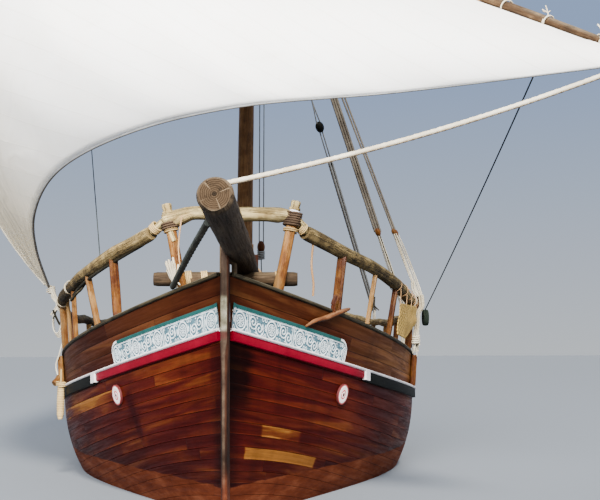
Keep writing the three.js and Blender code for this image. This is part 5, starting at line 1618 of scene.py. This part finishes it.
def running_rigging():
    """Tack rope, vangs and sheet join hull and rig; the other ropes hang on the hull."""
    a, b = np.array([0.098, -11.15, 3.526]), np.array([4.17, -11.0, 4.789])
    crossing_rope("tack_rope", along(a, b, 0, 1, sag=0.095, count=40), 0.027, pale_rope, 12)
    a, b = np.array([3.155, -3.5, 2.67]), yard_at(0.06) + np.array([0, 0, -0.03])
    crossing_rope("vang_rope", along(a, b, 0, 1, sag=0.05, count=40), 0.010, dark_rope)
    a, b = np.array([-1.80, -6.8, 3.22]), yard_at(0.985)
    crossing_rope("peak_vang", along(a, b, 0, 1, sag=0.10, count=40), 0.008, dark_rope, 8)
    a = CLEW + np.array([0.02, 0.02, -0.02])
    b = np.array([-3.065, -3.5, 2.775])
    crossing_rope("sheet_rope", through([b + [0.02, -0.5, -0.2], b, (a + b) / 2 + [-0.03, 0, 0], a], 30),
            0.017, pale_rope, 10)
    parts = Form()
    line = through([[-3.103, -3.3, 2.797], [-3.156, -3.3, 2.899], [-3.21, -3.3, 3.036]], 16)
    for k, off in enumerate(((0, 0, 0), (0.026, 0.02, 0.01), (-0.012, 0.03, 0.02))):
        add_rope(parts, line + np.array(off), 0.019, sides=9, ref=(0, 1, 0), steps_per_lay=5, tone=0.15 * k)
    parts = parts.make("sheet_parts", pale_rope, None, "rope", sharp=60)
    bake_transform(parts)
    knots = Form()
    add_lashing(knots, CLEW + np.array([0.035, -0.04, 0.0]), (0.1, 0.1, -1), 0.034, 4, 0.017, seed=1)
    frayed_end(knots, CLEW + np.array([0.02, 0.02, 0.0]), (-0.8, -0.2, 0.1), 0.12, 5, 0.04, 0.010, 11)
    knots.make("clew_knot", pale_rope, "rig", "rope", sharp=60)

    pale = Form()
    coil = np.array([-2.93, -4.1, 2.46])
    for k in range(4):
        turn = coil_path(coil + [0.01 * k, 0.015 * k, 0], (0.25, 1, 0.05), 0.075 + 0.008 * k, 1.05, 0.02)
        stretched = coil + (turn - coil) * np.array([1, 1, 2.6])
        add_rope(pale, stretched, 0.011, sides=7, steps_per_lay=5)
    add_rope(pale, through([[-2.841, -4.1, 2.10], [-2.87, -4.12, 1.95], [-2.93, -4.1, 1.75],
            [-2.90, -4.1, 1.60]], 20), 0.014, sides=8)
    bundle = [[2.993, -4.1, 2.88], [2.998, -4.1, 2.683], [2.939, -4.1, 2.585], [2.91, -4.1, 2.307],
            [2.874, -4.1, 2.112]]
    for k, off in enumerate(((0, 0, 0), (0.028, 0.012, 0), (-0.024, 0.018, 0), (0.006, -0.026, 0))):
        add_rope(pale, through(np.array(bundle) + np.array(off), 30), 0.020, sides=9, ref=(0, 1, 0),
                steps_per_lay=6, tone=0.1 * k)
    for off in (-0.018, 0.018):
        line = np.array([[2.864 + off, -4.1, 3.11], [2.869 + off, -4.1, 2.98], [2.930 + off, -4.1, 2.864]])
        add_rope(pale, through(line, 12), 0.016, sides=8, ref=(0, 1, 0), steps_per_lay=6)
    add_lashing(pale, (2.885, -4.1, 2.14), (0, 0, 1), 0.052, 4, 0.016, seed=7)
    frayed_end(pale, (2.88, -4.1, 2.08), (0, 0, -1), 0.16, 9, 0.05, 0.008, 12)
    at = np.array([-0.625, -8.52, 2.76])
    frayed_end(pale, at, (-0.12, -0.1, 0.9), 0.34, 14, 0.09, 0.021, 13)
    frayed_end(pale, at, (0.1, -0.2, -0.2), 0.16, 6, 0.08, 0.015, 14)
    pale.make("hanging_ropes", pale_rope, slot="rope", sharp=60)

    dark = add_rope(Form(), through([[-0.10, -10.8, 3.2], [-0.36, -9.7, 3.00], [-0.65, -8.5, 2.73]], 40),
            0.040, sides=12, ref=(0, 0.3, 1))
    add_rope(dark, along((-3.02, -3.6, 2.72), (-2.95, -4.3, 2.50), 0, 1), 0.012, sides=8)
    dark.make("bow_guy", dark_rope, slot="rope", sharp=60)

    grey = Form()
    for off in (-0.035, 0.045):
        add_rope(grey, np.array([[0.38 + off, -2.62, 10.85], [0.35 + off, -1.45, 3.95]]), 0.012, sides=8,
                ref=(0, 1, 0), steps_per_lay=6)
    add_rope(grey, through([[0.35, -1.45, 3.80], [0.37, -1.40, 3.1], [0.38, -1.30, 2.3]], 20), 0.012,
            sides=8, ref=(0, 1, 0))
    add_rope(grey, np.array([[0.15, -2.88, 10.9], [0.40, -2.66, 10.92]]), 0.016, sides=8)
    add_lashing(grey, (0.35, -1.45, 3.80), (0, 0.1, -1), 0.045, 5, 0.016, seed=2)
    grey.make("halyard", grey_rope, slot="rope", sharp=60)
    blocks = Form()
    block(blocks, (0.38, -2.62, 10.85), (0, 0.15, -1), 0.12, 0.1)
    block(blocks, (0.35, -1.45, 3.95), (0, 0.15, -1), 0.12, 0.1)
    blocks.make("halyard_blocks", varnished, slot="varnished_wood", sharp=60)

    line = [[1.051, -7.9, 3.306], [1.031, -7.9, 3.028], [1.055, -7.9, 2.801], [1.048, -7.9, 2.65]]
    pink = add_rope(Form(), through(line, 24), 0.015, sides=9, ref=(0, 1, 0), tone=0.45)
    add_rope(pink, through([[-0.56, -8.4, 3.60], [-0.60, -8.35, 3.2], [-0.57, -8.3, 2.9]], 20), 0.010,
            sides=8, ref=(0, 1, 0))
    pink.make("thin_lines", tan_rope, slot="rope", sharp=60)


def mat():
    """Plaited mat tied to the port rail: a thin shell that waves between the cap and a level top.

    Its lower edge rises aft; a point at height z stands 24 to 86 mm outside the bulwark's edge.
    """
    rows, cols = 70, 40
    y = np.linspace(-5.600, -4.120, rows)[:, None] * np.ones((1, cols))
    w = np.linspace(0, 1, cols)[None, :] * np.ones((rows, 1))
    head = np.minimum(rail_z(y) - 0.105, 2.670)
    foot = top_z(y) + 0.060
    foot = foot + (head - 0.190 - foot) * np.clip((y + 5.200) / 1.080, 0, 1)
    z = foot * (1 - w) + head * w
    out = 0.024 + 0.062 * (z - top_z(y) - 0.060) / (rail_z(y) - top_z(y) - 0.165) + 0.020
    out = out + 0.009 * np.sin(y * 7 + 2 * w) + 0.006 * np.sin(w * 9 + y * 3)
    middle = beside(top_half, y, z, out)
    n = np.cross(np.gradient(middle, axis=0), np.gradient(middle, axis=1))
    n /= np.linalg.norm(n, axis=-1, keepdims=True)
    ring = np.concatenate([middle + n * 0.006, (middle - n * 0.006)[:, ::-1]], 1)
    long = length_along(middle[:, 0])[:, None] * np.ones((1, cols))
    tall = np.concatenate([np.zeros((rows, 1)), np.cumsum(np.linalg.norm(np.diff(middle, axis=1), axis=-1),
            1)], 1)
    u = np.concatenate([long, long[:, ::-1], long[:, :1]], 1)
    v = np.concatenate([tall, tall[:, ::-1], tall[:, :1]], 1)
    piece = Form().grid(ring, u, v, wrap=True, caps="zip").make("rail_mat", plaited, slot="mat_fibre",
            replaces="mat_port", sharp=0)
    ties = Form()
    for k in range(0, rows, 17):
        at, way = rail_place(1, float(y[k, 0]))
        add_lashing(ties, at, way, 0.088, 2, 0.006, tone=0.2, seed=k)
        line = np.array([at + [0.075, 0, -0.05], (at + middle[k, -1]) / 2 + [0.045, 0, 0],
                middle[k, -1] - [0, 0, 0.03]])
        add_rope(ties, through(line, 12), 0.006, sides=7, ref=(0, 1, 0), steps_per_lay=5)
    ties.make("mat_ties", tan_rope, slot="rope", sharp=60)


def fenders_and_side_timbers():
    """Rubber disc to port, rope-wound bolster to starboard, and the timbers outside the bulwarks."""
    t = np.array([-1.0, -0.97, -0.85, -0.5, 0.0, 0.5, 0.85, 0.97, 1.0])
    disc = np.stack([t * 0.0475, 0.138 * np.array([0.80, 0.88, 0.95, 0.99, 1.0, 0.99, 0.95, 0.88, 0.80])], -1)
    form = add_turned(Form(), (3.1525, -3.5, 2.53), (1, 0, 0), disc, 40)
    form.make("fender_disc", old_rubber, slot="old_rubber", replaces="fender_port", sharp=50)
    z = np.linspace(1.70, 0.93, 200)
    core = np.interp(-z, [-1.70, -1.48, -1.44, -1.18, -1.0, -0.93], [12, 14, 52, 60, 56, 34]) / 1000.0
    turns = core * (0.88 + 0.12 * np.abs(np.sin(np.pi * z / 0.026)))
    line = np.stack([0 * z - float(wale_half(-4.6)) - 0.128, 0 * z - 4.6, z], -1)
    form = Form().grid(carried(line, turns, 20, (0, 1, 0)), z / 0.02, np.linspace(0, 1, 21), wrap=True,
            caps=True, tone=np.interp(z, [0.93, 1.02, 1.1], [-0.6, -0.3, 0.0])[:, None])
    add_lashing(form, line[60], (0, 0, 1), 0.058, 3, 0.012, seed=1)
    form.make("fender_bolster", straw_rope, slot="rope", replaces="fender_starboard", sharp=60)
    head = through([[2.805, -4.0, 2.015], [2.819, -4.0, 2.425], [2.938, -4.0, 2.622], [2.950, -4.0, 2.853]],
            24)
    form = add_pole(Form(), head, np.linspace(0.050, 0.044, 24), 16, 0.05, 97, knots=3, tone=-0.3,
            ref=(0, 1, 0))
    form.make("side_timber_head", varnished, slot="varnished_wood", sharp=50)
    for name, side in SIDES:
        z = np.linspace(float(wale_z(-4.01)) + 0.014, float(top_z(-4.01)) - 0.052, 14)
        line = np.stack([side * (wall_half(np.full(14, -4.01), z) + 0.052), np.full(14, -4.01), z], -1)
        form = add_pole(Form(), line, 0.046, 18, 0.05, 90 + int(side), knots=4,
                tone=0.2 if side > 0 else 0.45, ref=(0, 1, 0), power=4.0, flat=1.6)
        if side < 0:
            stub = np.array([[-2.86, -4.0, 1.62], [-2.90, -4.06, 1.52], [-2.95, -4.12, 1.46]])
            add_pole(form, through(stub, 14), 0.055, 14, 0.06, 95, knots=2, tone=0.5)
        form.make("side_timber_dressed_" + name, varnished, slot="varnished_wood",
                replaces="side_timber_" + name, sharp=50)


def deck_top(y):
    return wale_z(y) + 0.048 + 0.07 * (wale_half(y) / BEAM_HALF) ** 2


def deck_fittings():
    """Hatch, beam at the mast, heel post of the log, stern bench and taffrail, all of dressed boards."""
    y = np.linspace(0.5, 2.7, 16)
    coaming = Form()
    for x in (-0.87, 0.87):
        add_board(coaming, np.stack([0 * y + x, y, deck_top(y) + 0.131], -1), 0.030, 0.129, seed=1 + int(x))
    for y0 in (0.53, 2.67):
        line = np.array([[-0.84, y0, deck_top(y0) + 0.131], [0.84, y0, deck_top(y0) + 0.131]])
        add_board(coaming, line, 0.030, 0.129, seed=int(y0 * 3))
    coaming.make("hatch_boards", dressed, slot="varnished_wood", replaces="hatch_coaming", sharp=40)
    cover = Form()
    y = np.linspace(0.47, 2.73, 16)
    for k, x in enumerate(np.linspace(-0.775, 0.775, 6)):
        add_board(cover, np.stack([0 * y + x, y, deck_top(y) + 0.283], -1), 0.1525, 0.016, arris=0.005,
                seed=k, tone=0.12 * (k % 3))
    for y0 in (0.75, 1.6, 2.45):
        line = np.array([[-0.90, y0, deck_top(y0) + 0.306], [0.90, y0, deck_top(y0) + 0.306]])
        add_board(cover, line, 0.045, 0.010, arris=0.005, seed=9, tone=0.3)
    cover.make("hatch_planks", bare_board, slot="deck_planks", replaces="hatch_cover", sharp=40)
    bench = Form()
    for k, y0 in enumerate((7.0, 7.2)):
        top = float(deck_top(7.1)) + 0.452
        add_board(bench, [[-1.15, y0, top], [1.15, y0, top]], 0.098, 0.021, seed=20 + k, tone=0.1 * k)
        leg = float(deck_top(y0)) + 0.230
        add_board(bench, [[-0.90, y0 - 0.01, leg], [0.90, y0 - 0.01, leg]], 0.028, 0.200, seed=24 + k)
    bench.make("bench_boards", bare_board, slot="deck_planks", replaces="stern_bench", sharp=40)
    tz = float(top_z(STERN)) + 0.152
    half = float(top_half(STERN)) + 0.06
    line = [[-half, float(stern_y(tz)) + 0.05, tz + 0.0275], [half, float(stern_y(tz)) + 0.05, tz + 0.0275]]
    rail = add_board(Form(), line, 0.080, 0.0275, arris=0.012, seed=30)
    rail.make("taffrail_cap", cap_wood, slot="weathered_wood", replaces="taffrail", sharp=40)
    beam_z = float(wale_z(-1.6)) + 0.35
    beam_y = float(mast_at(np.array(beam_z))[1]) + 0.293
    half = float(top_half(beam_y)) - BULWARK_T - 0.04
    beam = add_board(Form(), [[-half, beam_y, beam_z], [half, beam_y, beam_z]], 0.105, 0.110, arris=0.014,
            seed=31)
    beam.make("beam_dressed", dressed, slot="varnished_wood", replaces="mast_beam", sharp=40)
    top = 2.945 + 0.33
    post = add_board(Form(), [[0.25, -6.768, float(wale_z(-6.7)) + 0.125], [0.25, -6.768, top]], 0.100,
            0.100, ref=(0, 1, 0), arris=0.014, seed=32)
    post.make("heel_post_dressed", dressed, slot="varnished_wood", replaces="heel_post", sharp=40)
    wound = Form()
    add_lashing(wound, (0.245, -6.98, 2.955), (0.054, 1, -0.0915), 0.140, 3, 0.014, seed=1)
    for x in (-0.9, 0.9):
        add_lashing(wound, (x, beam_y, beam_z), (1, 0, 0), 0.135, 3, 0.012, seed=int(x))
    wound.make("deck_lashings", tan_rope, slot="rope", sharp=60)


RAKE = 0.27
HINGE_OUT = 0.2364


def hinge_y(z):
    """The rudder turns on a line parallel to the sternpost."""
    return stern_y(z) + HINGE_OUT


def stern_timbers():
    """Keel, sternpost, rudder blade with its irons, and the tiller."""
    line = [[0, float(stem_y(KEEL_TOP)), -1.3757], [0, float(stern_y(KEEL_TOP)), -1.3757]]
    keel = add_board(Form(), line, SIDING, 0.1243, arris=0.016, seed=40)
    keel.make("keel_timber", blade_timber, slot="hull_planks", replaces="keel", sharp=40)
    z = np.linspace(-1.46, 2.48, 12)
    post = add_board(Form(), np.stack([0 * z, stern_y(z) + 0.0864, z], -1), SIDING, 0.0815, ref=(0, 1, 0),
            arris=0.014, seed=41)
    post.make("sternpost_timber", blade_timber, slot="varnished_wood", replaces="sternpost", sharp=40)
    z = np.linspace(-1.46, 2.95, 90)
    reach = np.interp(z, [-1.46, -0.7, 0.3, 1.5, 2.95], [1.15, 1.15, 0.70, 0.30, 0.26])
    w = np.array([0.0, 0.004, 0.02, 0.06, 0.30, 0.60, 0.85, 0.97, 1.0])
    half = np.array([0.020, 0.034, 0.043, 0.045, 0.045, 0.042, 0.034, 0.026, 0.012])
    x = np.concatenate([half, -half[::-1]])
    along_blade = np.concatenate([w, w[::-1]])
    y = hinge_y(z)[:, None] + 0.005 + (reach - 0.005)[:, None] * along_blade[None, :]
    ring = np.stack(np.broadcast_arrays(x[None, :], y, z[:, None]), -1)
    blade = Form().grid(ring, z, np.linspace(0, 1, 19), wrap=True, caps=True)
    blade.make("rudder_blade", blade_timber, "steering", "hull_planks", "rudder", sharp=40)
    raked = np.array([0, RAKE, 1.0]) / math.hypot(1, RAKE)
    moving, fixed = Form(), Form()
    for z0 in (-0.9, 0.35, 1.7):
        at = np.array([0, float(hinge_y(z0)), z0])
        for side in (-1, 1):
            line = at + np.array([[side * 0.049, 0.03, 0], [side * 0.049, 0.24, 0]])
            add_board(moving, line, 0.004, 0.030, ref=(0, 0, 1), arris=0.0015)
            line = at + np.array([[side * 0.056, -0.21, 0], [side * 0.056, -0.075, 0]])
            add_board(fixed, line, 0.004, 0.030, ref=(0, 0, 1), arris=0.0015)
        add_turned(moving, at, raked, [(-0.05, 0.020), (-0.046, 0.024), (0.046, 0.024), (0.05, 0.020)], 16)
        add_board(fixed, at + np.array([[0, -0.066, 0], [0, -0.033, 0]]), 0.030, 0.028, arris=0.003)
    moving.make("rudder_straps", iron, "steering", "hull_planks", sharp=40)
    fixed.make("sternpost_straps", iron, slot="hull_planks", sharp=40)
    base = np.array([0, float(hinge_y(3.06)) + 0.15, 0.0])
    line = through([base + [0, 0.18, 3.013], base + [0, -0.40, 3.05], base + [0, -2.3, 3.26]], 50)
    radius = np.interp(length_along(line), [0, 0.58, 2.49], [0.062, 0.055, 0.036])
    tiller = add_pole(Form(), line, radius, 20, 0.03, 43, knots=3, tone=0.2)
    tiller.make("tiller_spar", dressed, "steering", "varnished_wood", "tiller", sharp=50)


hull_planking()
stem()
wales()
bulwark_planking()
bulwark_ribs()
cap_rails()
friezes()
eyes()
mouldings()
rail_poles()
crook()
bowsprit_log()
bow_timbers()
mast()
yard()
sail()
collar()
standing_rigging()
running_rigging()
mat()
fenders_and_side_timbers()
deck_fittings()
stern_timbers()

# The solids that show as they are.
for node, finish in {"deck": deck_timber, "transom": transom_timber}.items():
    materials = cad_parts[node].data.materials
    materials.clear()
    materials.append(finish)

# Studio: pale floor at the waterline, a key light from ahead and to starboard, and a soft sky.
FLOOR_HALF = 600
floor_mesh = bpy.data.meshes.new("studio_floor")
corners = [(-FLOOR_HALF, -FLOOR_HALF, 0), (FLOOR_HALF, -FLOOR_HALF, 0), (FLOOR_HALF, FLOOR_HALF, 0),
        (-FLOOR_HALF, FLOOR_HALF, 0)]
floor_mesh.from_pydata(corners, [], [(0, 1, 2, 3)])
floor = bpy.data.objects.new("studio_floor", floor_mesh)
bpy.context.scene.collection.objects.link(floor)
floor_paint = bpy.data.materials.new("studio_floor")
floor_paint.use_nodes = True
floor_paint.node_tree.nodes["Principled BSDF"].inputs["Base Color"].default_value = (0.22, 0.245, 0.28, 1)
floor_paint.node_tree.nodes["Principled BSDF"].inputs["Roughness"].default_value = 0.9
floor_paint.node_tree.nodes["Principled BSDF"].inputs["Specular IOR Level"].default_value = 0.1
floor_mesh.materials.append(floor_paint)

SKY_LIGHT = (0.84, 0.90, 1.0)
SKY_LOW, SKY_HIGH = (0.62, 0.66, 0.70), (0.30, 0.42, 0.66)
world = bpy.data.worlds.new("studio")
world.use_nodes = True
sky = Nodes(world.node_tree)
up = sky.split(sky.add("TexCoord").outputs["Generated"])[2]
seen = sky.add("Background", {"Color": sky.ramp(up, [(0.0, SKY_LOW), (0.28, SKY_HIGH)]), "Strength": 1.0})
lit = sky.add("Background", {"Color": (*SKY_LIGHT, 1.0), "Strength": 1.0})
both = sky.add("MixShader", {0: sky.add("LightPath").outputs["Is Camera Ray"]})
world.node_tree.links.new(lit.outputs[0], both.inputs[1])
world.node_tree.links.new(seen.outputs[0], both.inputs[2])
world.node_tree.links.new(both.outputs[0], world.node_tree.nodes["World Output"].inputs["Surface"])
bpy.context.scene.world = world


def lamp(name, kind, energy, colour, rotation=(0, 0, 0), place=(0, 0, 0), **settings):
    light = bpy.data.lights.new(name, kind)
    light.energy = energy
    light.color = colour
    for key, value in settings.items():
        setattr(light, key, value)
    holder = bpy.data.objects.new(name, light)
    holder.location = place
    holder.rotation_euler = [math.radians(v) for v in rotation]
    bpy.context.scene.collection.objects.link(holder)
    return holder


lamp("key", "SUN", 6.0, (1.0, 0.94, 0.84), (48, 0, 8), angle=math.radians(9))
lamp("fill", "SUN", 0.5, (0.93, 0.96, 1.0), (62, 0, 40), angle=math.radians(40))
SAIL_LAMP, SAIL_MIDDLE = Vector((-3, -28, 12)), Vector((-1.0, -7.0, 11.0))
soft = lamp("sail_light", "AREA", 5800, (1.0, 0.98, 0.95), place=SAIL_LAMP, size=8, spread=math.radians(70))
soft.rotation_euler = (SAIL_MIDDLE - SAIL_LAMP).to_track_quat("-Z", "Y").to_euler()

camera_data = bpy.data.cameras.new("photo_view")
camera_data.lens = 60
camera_data.sensor_width = 36
camera_data.clip_end = 1500
camera = bpy.data.objects.new("photo_view", camera_data)
camera.location = (0.4855, -20.430, 1.939)
turn = Matrix.Rotation(math.radians(-1.833), 3, "Z") @ Matrix.Rotation(math.radians(95.88), 3, "X")
camera.rotation_euler = (turn @ Matrix.Rotation(-0.003, 3, "Z")).to_euler()
bpy.context.scene.collection.objects.link(camera)
bpy.context.scene.camera = camera
